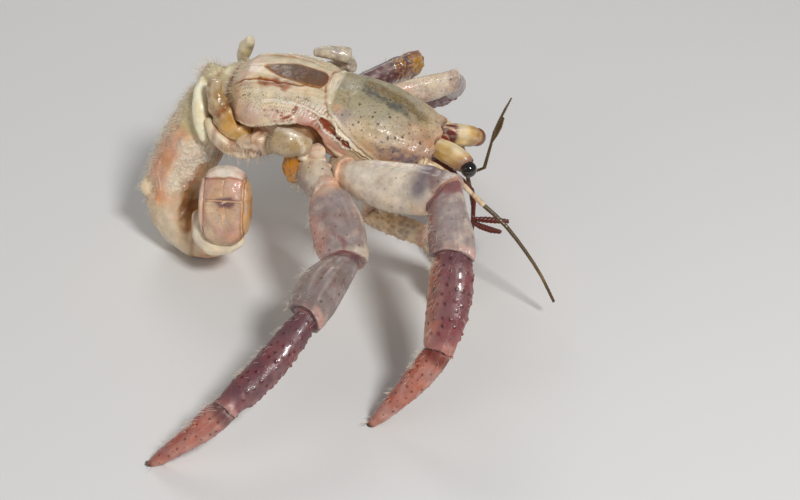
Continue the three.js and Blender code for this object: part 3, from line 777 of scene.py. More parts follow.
def cuffed(skin, at, neck, lip, slant=0.0, rim=LIP, tuck=TUCK):
    """Runs an article on over both cuts, so that its neck sits inside the rim of the last one."""
    taken_up = 1.3 + 2 * slant
    at_end = lip * ramp(1 - taken_up / at.length, 1 - 0.2 / at.length, at.along)
    edge = lip * bell(1 - 0.15 / at.length, 0.35 / at.length, at.along)
    waist = lip * bell(1 - 1.1 / at.length, 0.45 / at.length, at.along)
    at_root = neck * ramp(1.0 / at.length, 0.1 / at.length, at.along)
    reach = OVERLAP - NOTCH * bell(0.3, 0.7, at.angle) + 0.10 * np.sin(3 * at.angle)
    reach = reach + slant * (np.sin(at.angle) - 0.4)
    skin.points = skin.points + np.outer(reach * at_end - OVERLAP * at_root, at.axis)
    skin.points += at.outward * (rim * edge - 0.06 * waist - tuck * at_root)[:, None]


DOTS_FROM = 0.02  # the least share at which a place has dots at all


def dotted(skin, apart, radius, height, colour, salt, where, strength=0.85):
    """Low rounded dots, of uneven size and strewn unevenly. Apart, radius and height are in mm,
    and where says how much each place has."""
    where = np.broadcast_to(where, len(skin.points))
    shown = where > DOTS_FROM
    random = np.random.default_rng(salt)
    seeds = strewn(skin.points[shown], apart, random)
    near, size = np.full(len(where), 9.0), np.ones(len(where))
    near[shown], which = nearest_of(skin.points[shown], seeds)
    size[shown] = radius * random.uniform(0.55, 1.35, len(seeds))[which]
    skin.lift(where * height * ramp(size * 1.5, size * 0.2, near))
    skin.paint(colour, where * strength * ramp(size * 1.15, size * 0.35, near))


# Colours of an article: all over, in patches, along its rear edge, at its rim, and at its neck.
Look = namedtuple("Look", "base patches rear rim neck")
LEG_LOOKS = {
    "leg_2_right": {
        "coxa": Look(CREAM, PEACH, PALE_CREAM, PEACH, CORAL),
        "merus": Look(LAVENDER_PALE, GLOW_WHITE, LAVENDER_PALE, LAVENDER, PEACH),
        "carpus": Look(LAVENDER, LAVENDER_PALE, MAUVE, PINK, PLUM),
        "propodus": Look(MAUVE, ROSE, SALMON, PINK, PLUM),
        "dactyl": Look(DACTYL_PINK, PINK, ROSE, ROSE, BLOOD),
    },
    "leg_3_right": {
        "coxa": Look(LAVENDER_PALE, CREAM, LAVENDER, SALMON, PINK),
        "merus": Look(LAVENDER, GREY_LAVENDER, PINK, LAVENDER_PALE, PEACH),
        "carpus": Look(GREY_LAVENDER, LAVENDER, LAVENDER, PINK, PLUM),
        "propodus": Look(MAUVE, PLUM, PLUM, PINK, PLUM),
        "dactyl": Look(DACTYL_PINK, ROSE, ROSE, ROSE, PLUM),
    },
    "leg_2_left": {
        "coxa": Look(CREAM, LAVENDER, PALE_CREAM, PEACH, CORAL),
        "merus": Look(LAVENDER_PALE, PINK, CREAM, PLUM, PEACH),
        "carpus": Look(LAVENDER, PLUM, LAVENDER, PINK, PLUM),
        "propodus": Look(MAUVE, PLUM, PINK, PINK, CORAL),
        "dactyl": Look(DACTYL_PINK, PINK, ROSE, ROSE, BLOOD),
    },
    "leg_3_left": {
        "coxa": Look(CREAM, LAVENDER, PALE_CREAM, PEACH, CORAL),
        "merus": Look(PLUM, SLATE_PURPLE, SLATE_PURPLE, GOLD, PEACH),
        "carpus": Look(GREY_LAVENDER, PLUM, LAVENDER, PEACH, GOLD),
        "propodus": Look(PLUM, MAUVE, MAUVE, PINK, BLOOD),
        "dactyl": Look(ROSE, DACTYL_PINK, ROSE, ROSE, BLOOD),
    },
}
LEG_PARTS = ["coxa", "merus", "carpus", "propodus", "dactyl"]
LOWER_PARTS = LEG_PARTS[-2:]
RIM_WIDTH = 0.5

# What shows inside the rim: its colour and how strong it is.
INSIDES = {"coxa": (SALMON, 0.4), "merus": (MAUVE, 0.55)}
OTHER_INSIDE = (PLUM, 0.8)

# Where the second right leg's merus meets the carapace, in the trunk's axes.
LEG_TOP_LINE = [[3.7, -7.3, -0.2], [5.7, -7.5, 1.0], [9.4, -9.0, 2.9], [12.6, -10.0, 4.3]]


def paint_article(skin, at, part, look, salt):
    """What every article of a walking leg has."""
    patches = rough_noise(skin.points, 1.8, salt)
    to_rim = (1 - at.along) * at.length + 0.2 * patches
    from_root = at.along * at.length + 0.2 * patches
    lower = part in LOWER_PARTS
    skin.paint(look.base, 1.0)
    skin.paint(look.patches, (0.5 if part == "merus" else 0.75) * ramp(-0.25, 0.75, patches))
    skin.paint(look.rear, 0.75 * ramp(0.25, 0.95, -at.head_side + 0.3 * patches))
    skin.paint(MAUVE, 0.3 * ramp(0.2, 0.9, rough_noise(skin.points, 0.8, salt + 3)))
    if not lower:
        skin.paint(LAVENDER_PALE, 0.25 * ramp(0.2, 0.9, -rough_noise(skin.points, 0.9, salt + 4)))
    if part == "propodus":
        faces_front = ramp(0.1, 1.0, at.front + 0.25 * patches)
        skin.paint(PLUM, 0.6 * faces_front * ramp(0.95, 0.6, at.along))
    if part != "dactyl":
        edge = ramp(1.6 * RIM_WIDTH, 0.4 * RIM_WIDTH, to_rim)
        skin.paint(look.rim, 0.6 * edge * ramp(-0.8, 0.6, at.head_side))
        skin.paint(PLUM if part == "carpus" else ROSE, 0.4 * edge * ramp(0.0, 0.8, -at.head_side))
        inside = ramp(0.5, 0.85, at.end_facing) * ramp(0.85, 0.95, at.along)
        colour, strength = INSIDES.get(part, OTHER_INSIDE)
        skin.paint(colour, strength * inside)
    if part != "coxa":
        skin.paint(look.neck, 0.7 * ramp(1.1, 0.3, from_root))
    # Painted shade in the hollows and painted highlight on the ridges.
    skin.paint_hollow_shade(BLOOD if lower else BRICK, 0.4)
    if part in ("carpus", "propodus"):
        skin.wet = skin.wet + 0.5 * ramp(0.0, 0.6, noise(skin.points, 1.2, salt + 8))
    if lower:
        spacing, size = (0.80, 0.18) if part == "propodus" else (0.64, 0.13)
        dotted(skin, spacing, size, 0.05, DOT_RED, salt + 5, ramp(1.0, 0.8, at.along))
    else:
        dotted(skin, 1.25, 0.12, 0.015, DOT_BROWN, salt + 5, ramp(0.2, 0.6, at.along), 0.8)
        dotted(skin, 0.55, 0.07, 0.0, MAUVE, salt + 9, 1.0, 0.45)


def paint_merus(name, skin, at):
    """What each walking leg's merus has of its own."""
    patches = rough_noise(skin.points, 1.6, 37)
    if name == "leg_2_right":
        skin.paint(GLOW_WHITE, 0.35 * bell(0.45, 0.3, at.along))
        skin.paint(PEACH, 0.4 * ramp(0.7, 0.95, at.along) * ramp(0.2, 0.8, at.low))
        blotch = bell(0.84, 0.10, at.along) * ramp(0.7, -0.3, at.low + 0.3 * patches)
        skin.paint(SLATE_PURPLE, 0.9 * blotch * ramp(0.0, 0.5, at.front))
        skin.paint(PLUM, 0.6 * bell(0.93, 0.08, at.along) * ramp(-0.5, 0.4, patches))
        skin.paint(BLOOD, 0.85 * on_line(to_trunk(skin.points), LEG_TOP_LINE, 0.34))
        skin.lift(0.35 * bell(0.45, 0.35, at.along) * ramp(-0.2, 0.8, at.low))
    elif name == "leg_3_right":
        vein = bell(0.15, 0.25, at.angle + 0.4 * patches) * ramp(0.5, 0.85, at.along)
        skin.paint(MAUVE, 0.6 * vein)
        skin.paint(PLUM, 0.4 * vein * ramp(0.1, 0.8, noise(skin.points, 0.6, 36)))
        skin.paint(CREAM, 0.6 * ramp(0.75, 1.0, at.head_side + 0.2 * patches))
    elif name == "leg_2_left":
        dotted(skin, 0.32, 0.13, 0.05, PALE_CREAM, 38, 1.0, 0.6)
    else:
        gilded = ramp(0.55, 0.85, at.along + 0.1 * patches)
        dotted(skin, 0.3, 0.14, 0.08, GOLD, 39, gilded, 0.8)
        skin.paint(SILVER, 0.4 * ramp(0.3, 0.9, noise(skin.points, 0.4, 40)))


def plumped(name, part, skin, at):
    """Fills an article out where the living one bulges past its solid."""
    middle = bell(0.5, 0.32, at.along)
    rear, head = ramp(0.0, 0.9, -at.head_side), ramp(0.0, 0.9, at.head_side)
    if part == "dactyl":
        skin.lift(0.34 * ramp(0.75, 0.0, at.along) * ramp(-0.6, 0.8, at.head_side))
    if part == "propodus":
        skin.lift(-0.12 * ramp(0.85, 1.0, at.along))
    if part == "coxa":
        skin.lift(0.35 * middle)
    if (name, part) == ("leg_3_right", "carpus"):
        skin.lift(0.85 * middle * rear)
    if (name, part) == ("leg_3_right", "merus"):
        skin.lift(0.4 * middle * head)
    if (name, part) == ("leg_2_right", "carpus"):
        skin.lift(0.35 * ramp(0.2, 0.8, at.along) * head)
    if (name, part) == ("leg_2_right", "merus"):
        skin.lift(-0.42 * bell(0.45, 0.4, at.along) * ramp(0.2, 0.9, -at.low))


def atlas(at, tile, tiles):
    """A place on the coat's map: each article has its own upright strip."""
    u = (tile + 0.08 + 0.84 * (at.angle / (2 * math.pi) + 0.5)) / tiles
    return np.stack([u, 0.05 + 0.9 * np.clip(at.along, 0, 1)], axis=-1)


def paint_details(name, part, skin, at):
    """What only some articles of the walking legs have."""
    if part == "merus":
        paint_merus(name, skin, at)
    if (name, part) == ("leg_2_right", "carpus"):
        patches = rough_noise(skin.points, 1.2, 47)
        skin.paint(MAUVE, 0.7 * ramp(0.4, 0.1, at.along) * ramp(-0.3, 0.4, patches))
        skin.paint(PLUM, 0.5 * ramp(0.25, 0.05, at.along) * ramp(-0.1, 0.6, -patches))
    if part == "propodus":
        dotted(skin, 0.70, 0.24, 0.13, DOT_RED, 45, ramp(0.5, 0.95, at.head_side), 0.5)
    if part == "dactyl":
        skin.paint(DOT_RED, 0.45 * bell(0.05, 0.045, at.along))
        skin.paint(RUST, 0.7 * ramp(0.93, 0.97, at.along))
        skin.paint(NEAR_BLACK, 0.9 * ramp(0.965, 0.99, at.along))


def walking_leg(name, coat, tile, tiles):
    voxel = 0.09 if name.endswith("right") else 0.12  # coarser on the far side
    nodes = [f"{name}_{part}" for part in LEG_PARTS]
    ends = joints_of(nodes)
    for i, (node, part) in enumerate(zip(nodes, LEG_PARTS)):
        skin = wrapped([node], voxel, rounding=0.17, base=LAVENDER)
        at = Measure(skin, ends[i], ends[i + 1])
        softened(skin, at, kept_end=KEPT_TIP if part == "dactyl" else KEPT_END)
        plumped(name, part, skin, at)
        skin.lift(0.06 * rough_noise(skin.points, 2.4, 30 + i))
        at = Measure(skin, ends[i], ends[i + 1])
        cuffed(skin, at, part != "coxa", part != "dactyl", SLANTS.get(node, 0.0),
               SOFT_RIMS.get(node, LIP), SOFT_NECKS.get(node, TUCK))
        paint_article(skin, at, part, LEG_LOOKS[name][part], 41 + 7 * i + len(name))
        paint_details(name, part, skin, at)
        skin.keep_above_floor()
        show(f"{node}_armour", skin, LEG_ARMOUR, [node])
        fringe = ramp(0.45, 0.95, -at.head_side) * ramp(0.02, 0.12, at.along)
        fringe = fringe * ramp(-0.1, 0.5, noise(skin.points, 1.1, 46)) + 0.02
        unwrap = atlas(at, tile + i, tiles)
        coat.grow(skin, fringe, unwrap, count=110, length=0.85, lie=at.axis * 0.55)
    core = limb_core(nodes, ends, sink=0.26)
    core.lift(0.04 * noise(core.points, 0.5, 71))
    core.paint(MAUVE, 0.6 * ramp(-0.3, 0.6, noise(core.points, 1.2, 72)))
    core.paint(PLUM, 0.4 * ramp(0.0, 0.7, noise(core.points, 0.7, 73)))
    past_merus = (core.points - ends[2]) @ unit(ends[3] - ends[2])
    core.paint(PLUM, 0.75 * ramp(-1.5, 0.0, past_merus))
    show_core(name, core)


CLAW_PARTS = ["coxa", "merus", "carpus", "palm", "finger"]
CLAW_BASES = {"claw_right": CLAW_BROWN, "claw_left": PLUM}


def claw(name, coat, tile, tiles):
    nodes = [f"{name}_{part}" for part in CLAW_PARTS]
    *jointed, finger = nodes
    ends = joints_of(jointed)
    wrist = ends[-2]  # where palm and finger both start
    fingertip = far_end(finger, wrist)
    stretches = [*zip(ends, ends[1:]), (wrist, fingertip)]
    for i, (node, part, (start, end)) in enumerate(zip(nodes, CLAW_PARTS, stretches)):
        skin = wrapped([node], voxel=0.10, rounding=0.16, base=CLAW_BASES[name])
        softened(skin, Measure(skin, start, end), rounds=40)
        at = Measure(skin, start, end)
        cuffed(skin, at, neck=part in ("merus", "carpus", "palm"), lip=part in CLAW_PARTS[:3])
        if part == "coxa":
            skin.paint(LAVENDER_PALE, 0.8)
        else:
            dotted(skin, 0.58, 0.30, 0.14, MAUVE, 81, 1.0, 0.5)
            dotted(skin, 0.58, 0.13, 0.0, PINK, 81, 1.0, 0.55)
        if part in ("palm", "finger"):
            tips = ramp(0.62, 1.0, at.along)
            skin.paint(PALE_CREAM, 0.6 * tips)
            skin.paint(RUST, 0.4 * tips * ramp(-0.2, 0.5, noise(skin.points, 0.7, 82)))
        else:
            skin.paint(PINK, 0.6 * ramp(0.86, 0.96, at.along))
        # Painted shade in the hollows and painted highlight on the ridges.
        skin.paint_hollow_shade(BLOOD, 0.5)
        skin.keep_above_floor()
        show(f"{node}_armour", skin, CLAW_ARMOUR, [node])
        everywhere, unwrap = np.ones(len(skin.points)), atlas(at, tile + i, tiles)
        coat.grow(skin, everywhere, unwrap, count=90, length=0.7, lie=at.axis * 0.6, colour=CREAM)
    show_core(name, limb_core(jointed, [*ends, fingertip], sink=0.32))


# ---- soft body: rear carapace, thorax and abdomen in one skin ------------------------------------
ABDOMEN_LINE = np.array([
    [-12.6, 4.2, 18.4], [-15.2, 4.7, 17.8], [-17.6, 5.0, 16.8], [-19.8, 4.8, 14.5],
    [-21.8, 4.2, 11.4], [-23.7, 3.2, 7.8], [-23.9, 2.2, 5.0], [-22.3, 0.8, 3.1],
    [-19.9, -0.9, 3.4], [-18.1, -2.7, 6.4],
]) + STANCE_SHIFT

ABDOMEN_FROM = (-9.4, -11.2)  # x in the trunk's axes, where it starts and where it has taken over
ABDOMEN_REACH = (6.6, 5.6)  # how far from its line it has ended, and how far it is whole
ABDOMEN_BACK = unit(np.array([-0.8, 0.15, 0.5]))
BACK_FOLDS = (0.17, 0.33, 0.49, 0.63)  # how far along the abdomen the folds across its back lie

SHIELD_SEAT = 0.42  # how deep the skin under the shield lies

# In the trunk's own axes, on its right side; the left side mirrors them.
SHIELD_BORDER = [[0, 30], [0, 2.6], [6.8, -1.0], [30, -0.2]]  # x and z, seen from the side
NECK_GROOVE = [[-0.3, 0, 3.7], [-0.15, -1.0, 3.6], [0.05, -2.2, 3.4], [0.2, -2.9, 3.2],
               [0.7, -3.7, 2.9], [1.2, -4.4, 2.4]]
LOBE_TOP = [[-10.8, -2.4, 0.6], [-10.0, -2.5, 1.7], [-8.7, -2.6, 2.6], [-7.2, -2.5, 3.1],
            [-5.5, -2.6, 3.35], [-3.9, -2.45, 3.5], [-2.4, -2.1, 3.6], [-1.1, -2.0, 3.5]]
BLOTCH = [[-7.1, -2.9, 3.0], [-4.9, -2.85, 3.4]]
SPECK_ROW = [[-9.1, -4.2, 1.2], [-7.0, -4.4, 2.3], [-4.9, -4.4, 2.7], [-2.8, -4.0, 3.0],
             [-1.2, -3.8, 2.95]]
WHITE_RIDGE = [[-6.5, -5.0, 2.0], [-4.7, -4.8, 2.5], [-2.6, -4.6, 2.7], [-0.9, -4.6, 2.4],
               [0.3, -4.8, 1.9], [1.6, -5.0, 1.5], [2.4, -5.2, 1.0]]
LOW_SPECK_ROW = [[-8.0, -5.2, 1.4], [-1.2, -5.0, 2.6]]
REAR_SPECKS = ([-9.2, -3.8, 1.4], [2.2, 1.9, 1.8])  # the middle and half sizes of a spot
NET = ([-4.4, -5.7, 1.4], [2.4, 1.3, 0.85])
RED_STREAK = [[-3.8, -5.9, 1.3], [-3.1, -5.3, 2.1], [-2.7, -4.8, 2.6]]
RED_SLOTS = [
    ([[0.0, -4.8, 1.75], [1.0, -5.1, 1.35], [1.65, -5.2, 1.0]], 0.50),
    ([[2.1, -5.3, 0.65], [2.25, -5.3, 0.5]], 0.32),
    ([[2.75, -5.4, 0.45], [3.4, -5.4, 0.1]], 0.40),
]
PINK_FOLDS = [[-1.7, -5.3, 1.7], [-0.8, -5.4, 1.1], [0.2, -5.3, 0.3], [1.4, -5.2, -0.6],
              [2.6, -5.2, -1.2]]
WHITE_STRAP = [[0.4, -5.4, -0.5], [1.8, -5.4, -1.2], [3.2, -5.2, -1.7]]
LOWER_EDGE = [[-9.5, -4.4, -2.0], [-7.0, -5.9, -0.95], [-4.6, -6.2, 0.3], [-2.6, -5.9, 1.05]]
FLANK_TOP = ([-9, -4.6, -2.6, 0, 2, 7], [-1.7, 0.3, 1.0, 0.7, -1.9, -1.6])  # x, and z there
PANEL_MIDDLE = -4.35  # where along the back the dark panel's middle lies
PANEL_REACH = 3.45  # half its length
PANEL_HALF = 1.5  # half its width
PANEL_TO_RIGHT = 0.5
# The line of a painted highlight along the top of the back lobe.
TOP_SHINE = [[-10.5, -0.4, 2.05], [-9.4, -0.6, 2.8], [-8.3, -1.2, 3.1]]

# Soft lumps on the right side below the carapace, in the trunk's axes: each has a line and the
# radii along it, or a middle and a radius.
GOLD_FOLD = ([[-11.9, -4.6, -2.9], [-10.9, -5.2, -3.9], [-9.3, -5.4, -4.7], [-7.6, -5.2, -5.0]],
             [0.6, 0.85, 0.95, 0.8])
GILL_BULBS = [([0.3, -5.7, -1.7], 1.0), ([0.9, -6.0, -2.5], 0.75), ([0.0, -6.2, -3.0], 0.75),
              ([-1.0, -6.0, -2.4], 0.7), ([1.8, -6.3, -2.9], 0.65), ([-0.4, -6.6, -3.7], 0.6),
              ([1.0, -6.7, -3.6], 0.55)]
TISSUE = [([0.4, -6.2, -3.9], 0.95), ([1.6, -6.4, -3.6], 0.7), ([2.6, -6.3, -2.9], 0.55),
          ([-0.3, -6.2, -3.6], 0.8), ([-0.2, -6.2, -4.8], 0.8), ([-7.4, -5.2, -3.5], 1.1),
          ([-6.2, -5.4, -2.8], 1.1), ([-5.2, -5.7, -3.0], 0.9), ([-6.2, -5.4, -4.3], 0.8)]
TISSUE_LINE = [[-7.6, -5.2, -4.0], [-5.2, -5.7, -3.2]]
AMBER_BLOCK = ([[-2.2, -6.0, -2.9], [-2.0, -6.3, -4.1], [-1.6, -6.2, -5.3]], [0.85, 1.05, 0.8])

# On the abdomen, in the frame's axes.
LEAF_LOBE = ([[-15.1, 6.0, 20.1], [-15.2, 4.0, 19.4], [-15.2, 2.8, 18.2], [-15.1, 2.0, 16.8],
              [-14.9, 1.6, 15.5]], [0.4, 0.85, 1.0, 0.95, 0.65])
SIDE_BUMP = (np.array([-21.9, 3.0, 7.9]), 1.15)
TOP_BUMP = (np.array([-14.1, 6.8, 20.0]), 1.5)
GLITTER = [[-14.2, 2.9, 12.4], [-15.9, 2.1, 13.1], [-17.1, 1.8, 11.6], [-17.9, 1.5, 9.2]]
SALMON_BAND = [[-18.1, 2.5, 14.0], [-19.9, 2.8, 12.2], [-20.7, 2.6, 10.4], [-20.7, 2.1, 8.6]]
DARK_FURROW = [[-14.1, 5.5, 19.2], [-14.0, 3.9, 18.0], [-13.9, 2.9, 16.4], [-13.6, 2.5, 14.6]]
RECESS = [[-15.3, 2.1, 10.4], [-16.8, 1.8, 8.4], [-17.6, 1.0, 6.3], [-17.3, -0.3, 5.2]]

# Round the tail's lower end, in the tail's axes.
CRESCENT = ([[-3.2, -1.6, -1.6], [-2.8, -3.4, -1.3], [-1.4, -4.45, -1.0], [0.2, -4.4, -1.1],
             [1.4, -3.9, -1.3]], [1.0, 1.2, 1.3, 1.1, 0.7])


def moved(string, place):
    """The balls of a line with sizes, after its points have been put in their place."""
    line, sizes = string
    return string_of(place(line), sizes)


def soft_body():
    """One skin for rear carapace, thorax and abdomen. Gives back the skin, its points in the
    trunk's axes as if all lay on its right side, how far along the abdomen each lies, and how much
    each belongs to it."""
    nodes = ["carapace_shield", "carapace_back", "thorax"] + [f"abdomen_{i}" for i in range(1, 5)]
    lumps = moved(GOLD_FOLD, from_trunk) + moved(CRESCENT, from_tail) + [SIDE_BUMP, TOP_BUMP]
    lumps += [(from_trunk(centre), radius) for centre, radius in TISSUE]
    skin = wrapped(nodes, voxel=0.112, rounding=0.24, base=CREAM, swell=0.28, lumps=lumps)
    trunk = to_trunk(skin.points)
    own = trunk * [1, 0, 1] - np.abs(trunk) * [0, 1, 0]
    from_abdomen, along = line_distance(skin.points, ABDOMEN_LINE)
    on_abdomen = ramp(*ABDOMEN_FROM, trunk[:, 0]) * ramp(*ABDOMEN_REACH, from_abdomen)
    on_trunk = 1 - on_abdomen
    under_shield = ramp(-0.05, -0.4, border_distance(unevenly(own)))
    skin.lift(-SHIELD_SEAT * on_trunk * under_shield)
    area = carapace_areas(skin, own, on_trunk)
    shape_carapace(skin, own, area)
    paint_carapace_back(skin, own, area)
    paint_carapace_side(skin, own, area)
    speck_carapace(skin, own, area)
    finish_flank(skin, own, area)
    glitter = shape_abdomen(skin, along, on_abdomen)
    # Painted shade in the hollows and painted highlight on the ridges, less of both among the
    # granules.
    skin.paint_hollow_shade(RUST, 0.55 - 0.45 * glitter)
    skin.keep_above_floor()
    show("soft_body", skin, FLESH, nodes[1:])
    return skin, own, along, on_abdomen


def unevenly(own):
    """Places of the carapace, with its lines' small wobbles."""
    return wander(own, 0.14, 0.7, 91)


def border_distance(own):
    """From the shield's border, seen from the side; negative under the shield."""
    x, _, z = own.T
    distance, _ = line_distance(own[:, [0, 2]], SHIELD_BORDER)
    level = np.interp(x, *np.transpose(SHIELD_BORDER[1:]))
    inside = (x > 0) & (z > level)
    return np.where(inside, -distance, distance)


def carapace_areas(skin, own, on_trunk):
    """How much each feature of the carapace covers each point, and distances to some of them."""
    x, y, z = own.T
    uneven = unevenly(own)
    outside = border_distance(uneven)
    behind = ramp(0.2, -0.4, x) * on_trunk
    high = ramp(1.2, 2.0, z) * behind
    flank = ramp(-2.0, -2.6, y) * on_trunk

    panel_share = (uneven[:, 0] - PANEL_MIDDLE) / PANEL_REACH
    blunt_front = np.sqrt(np.clip(1 - np.abs(panel_share) ** 8, 0, 1))
    pointed_back = np.clip(1 - np.abs(panel_share) ** 1.7, 0, 1)
    panel_edge = PANEL_HALF * np.where(panel_share > 0, blunt_front, pointed_back)
    sideways = to_trunk(skin.points)[:, 1] + PANEL_TO_RIGHT + 0.1 * noise(own, 1.5, 78)
    panel_gap = np.abs(sideways) - panel_edge

    from_top, _ = line_distance(uneven, LOBE_TOP)
    from_groove, _ = line_distance(uneven, NECK_GROOVE)
    from_ridge, ridge_share = line_distance(uneven, WHITE_RIDGE)
    groove = bell(0.27, 0.17, from_groove) + 0.55 * bell(0.0, 0.12, from_groove)
    seam_reach = ramp(0.7, 1.4, x) * ramp(7.0, 6.2, x) * flank
    slots, slot_rims = np.zeros(len(own)), np.zeros(len(own))
    for line, half in RED_SLOTS:
        distance, share = line_distance(uneven, line)
        width = half * (0.75 + 0.5 * np.sin(math.pi * np.clip(share, 0, 1)))
        slots = np.maximum(slots, ramp(width, width * 0.75, distance))
        slot_rims = np.maximum(slot_rims, bell(1.15 * width, 0.12, distance))
    slots, slot_rims = slots * on_trunk, slot_rims * on_trunk * (1 - slots)
    near, following, kind = scatter(uneven, 0.44, 93)
    strands = 0.5 + 0.5 * np.sin(ridge_share * 150 + 3.0 * noise(own, 0.6, 92))
    return SimpleNamespace(
        on_trunk=on_trunk, uneven=uneven, behind=behind, high=high, flank=flank,
        from_top=from_top, from_groove=from_groove, from_ridge=from_ridge, ridge_share=ridge_share,
        sideways=sideways,
        panel=ramp(0.12, -0.12, panel_gap) * high,
        panel_line=bell(0.05, 0.14, panel_gap) * high * (panel_edge > 0),
        top_line=ramp(0.24, 0.08, from_top) * on_trunk,
        lobe=ramp(0.0, 0.5, from_top) * (uneven[:, 1] < -2.3) * behind,
        groove=groove * on_trunk,
        groove_band=ramp(0.65, 0.45, from_groove) * on_trunk,
        seam=(bell(0.22, 0.10, outside) + 0.8 * bell(0.55, 0.10, outside)) * seam_reach,
        seam_line=bell(0.39, 0.07, outside) * seam_reach,
        ridge=ramp(0.26, 0.08, from_ridge) * on_trunk,
        edge=on_line(uneven, LOWER_EDGE, 0.4) * on_trunk,
        slots=slots, slot_rims=slot_rims,
        near=near, kind=kind,
        web=ramp(0.14, 0.03, following - near),
        net=on_spot(uneven, *NET) * on_trunk,
        folds=on_line(uneven, PINK_FOLDS, 1.35) * on_trunk * (1 - slots),
        strands=strands,
        fibres=strands * bell(0.7, 0.5, from_ridge) * ramp(0.30, 0.5, ridge_share) * flank,
        streak=on_line(wander(own, 0.22, 0.9, 86), RED_STREAK, 0.30) * on_trunk,
        strap=on_line(uneven, WHITE_STRAP, 0.4) * on_trunk,
    )


def shape_carapace(skin, own, area):
    """Ridges, seams and rims stand out, and lines and slots go in."""
    skin.lift(0.26 * area.groove + 0.20 * area.seam + 0.14 * area.ridge + 0.16 * area.edge
              + 0.14 * area.strap)
    skin.lift(-0.10 * area.panel_line - 0.14 * area.top_line - 0.22 * area.slots
              + 0.12 * area.slot_rims)
    skin.lift(0.06 * area.fibres + 0.08 * area.net * area.web - 0.10 * area.streak)
    skin.lift(0.10 * bell(0.45, 0.3, area.from_top) * area.lobe)
    skin.lift(0.06 * rough_noise(own, 2.0, 94) * area.on_trunk)
    skin.lift(0.02 * area.panel * noise(own, 0.32, 83) + 0.03 * area.panel * noise(own, 1.2, 82))


def paint_carapace_back(skin, own, area):
    """The lobes' broad colours, and the panel between them."""
    x, y, _ = own.T
    broad = rough_noise(own, 2.6, 95)
    skin.paint(PALE_CREAM, 0.4 * area.on_trunk * ramp(-0.4, 0.6, broad))
    skin.paint(PINK, 0.45 * area.on_trunk * ramp(-0.1, 0.8, -broad))
    stripes = np.sin(2 * math.pi * area.from_top / 0.52 + 1.2 * noise(own, 1.5, 96))
    skin.paint(SALMON, 0.30 * area.lobe * ramp(0.1, 0.9, stripes) * ramp(2.2, 1.2, area.from_top))
    pale_stripes = ramp(0.1, 0.9, -stripes) * ramp(2.4, 1.4, area.from_top)
    skin.paint(GLOW_WHITE, 0.35 * area.lobe * pale_stripes)
    skin.paint(GLOW_WHITE, 0.45 * area.flank * area.behind * bell(0.7, 1.1, area.from_ridge))
    below_top = ramp(-0.6, -1.2, y + 2.4 * (x < -8))
    skin.paint(YELLOW_CREAM, 0.3 * area.high * below_top)
    # Painted highlight along the top of the lobe.
    skin.paint(LAVENDER_PALE, 0.7 * on_line(area.uneven, TOP_SHINE, 0.9) * area.on_trunk)
    skin.paint(PANEL_TAUPE, 0.9 * area.panel)
    skin.paint(OLIVE, 0.3 * area.panel * ramp(0.0, 0.7, broad))
    skin.paint(OCHRE, 0.2 * area.panel * ramp(0.0, 0.7, -broad))
    dotted(skin, 0.5, 0.08, 0.0, DOT_BROWN, 81, area.panel, 0.6)
    skin.paint(OCHRE, 0.85 * area.panel_line)
    skin.paint(GOLDEN_BROWN, 0.85 * area.top_line)
    right = 0.15 + 0.85 * ramp(0.5, -0.5, area.sideways)
    skin.paint(RUST, 0.8 * right * on_line(wander(own, 0.4, 0.6, 97), BLOTCH, 1.0))
    skin.paint(BRICK, 0.55 * right * on_line(wander(own, 0.4, 0.4, 89), BLOTCH, 0.5))


def paint_carapace_side(skin, own, area):
    """Ridge, folds, net and fibres above the legs, then the slots, seams and groove."""
    skin.paint(GLOW_WHITE, 0.85 * area.ridge)
    skin.paint(PINK, 0.75 * area.folds)
    skin.paint(CORAL, 0.55 * area.folds * ramp(0.0, 0.7, noise(own * [1, 1, 2.4], 0.9, 98)))
    skin.paint(PINK, 0.5 * area.net)
    skin.paint(SLOT_RED, 0.8 * area.net * (area.kind > 0.35) * bell(0.15, 0.07, area.near))
    skin.paint(DOT_BROWN, 0.7 * area.net * (area.kind < 0.45) * ramp(0.12, 0.06, area.near))
    skin.paint(GLOW_WHITE, 0.6 * area.net * area.web)
    skin.paint(GLOW_WHITE, 0.75 * area.fibres)
    beside_ridge = bell(0.7, 0.4, area.from_ridge)
    between = (1 - area.strands) * beside_ridge * ramp(0.5, 0.7, area.ridge_share)
    skin.paint(BLOOD, 0.45 * between * area.flank)
    skin.paint(SLOT_RED, 0.8 * area.streak * ramp(-0.9, 0.0, noise(own, 0.7, 87)))
    skin.paint(SLOT_RED, area.slots)
    skin.paint(BLOOD, 0.5 * area.slots * ramp(-0.2, 0.6, noise(own, 0.4, 88)))
    skin.paint(SALMON, 0.4 * area.slots * ramp(0.2, 0.8, noise(own, 0.3, 85)))
    skin.paint(GLOW_WHITE, 0.9 * area.slot_rims)
    skin.paint(PALE_CREAM, 0.9 * np.maximum(area.seam, area.strap))
    skin.paint(RUST, 0.75 * area.seam_line)
    skin.paint(PALE_CREAM, 0.9 * area.groove_band)
    skin.paint(PEACH, 0.9 * area.groove_band * ramp(-0.1, 0.6, noise(own, 0.9, 99)))
    groove_edge = bell(0.66, 0.13, area.from_groove) * ramp(-0.3, 0.3, noise(own, 0.8, 100))
    skin.paint(RUST, 0.8 * groove_edge * area.on_trunk)
    skin.paint(PALE_CREAM, 0.6 * area.edge)


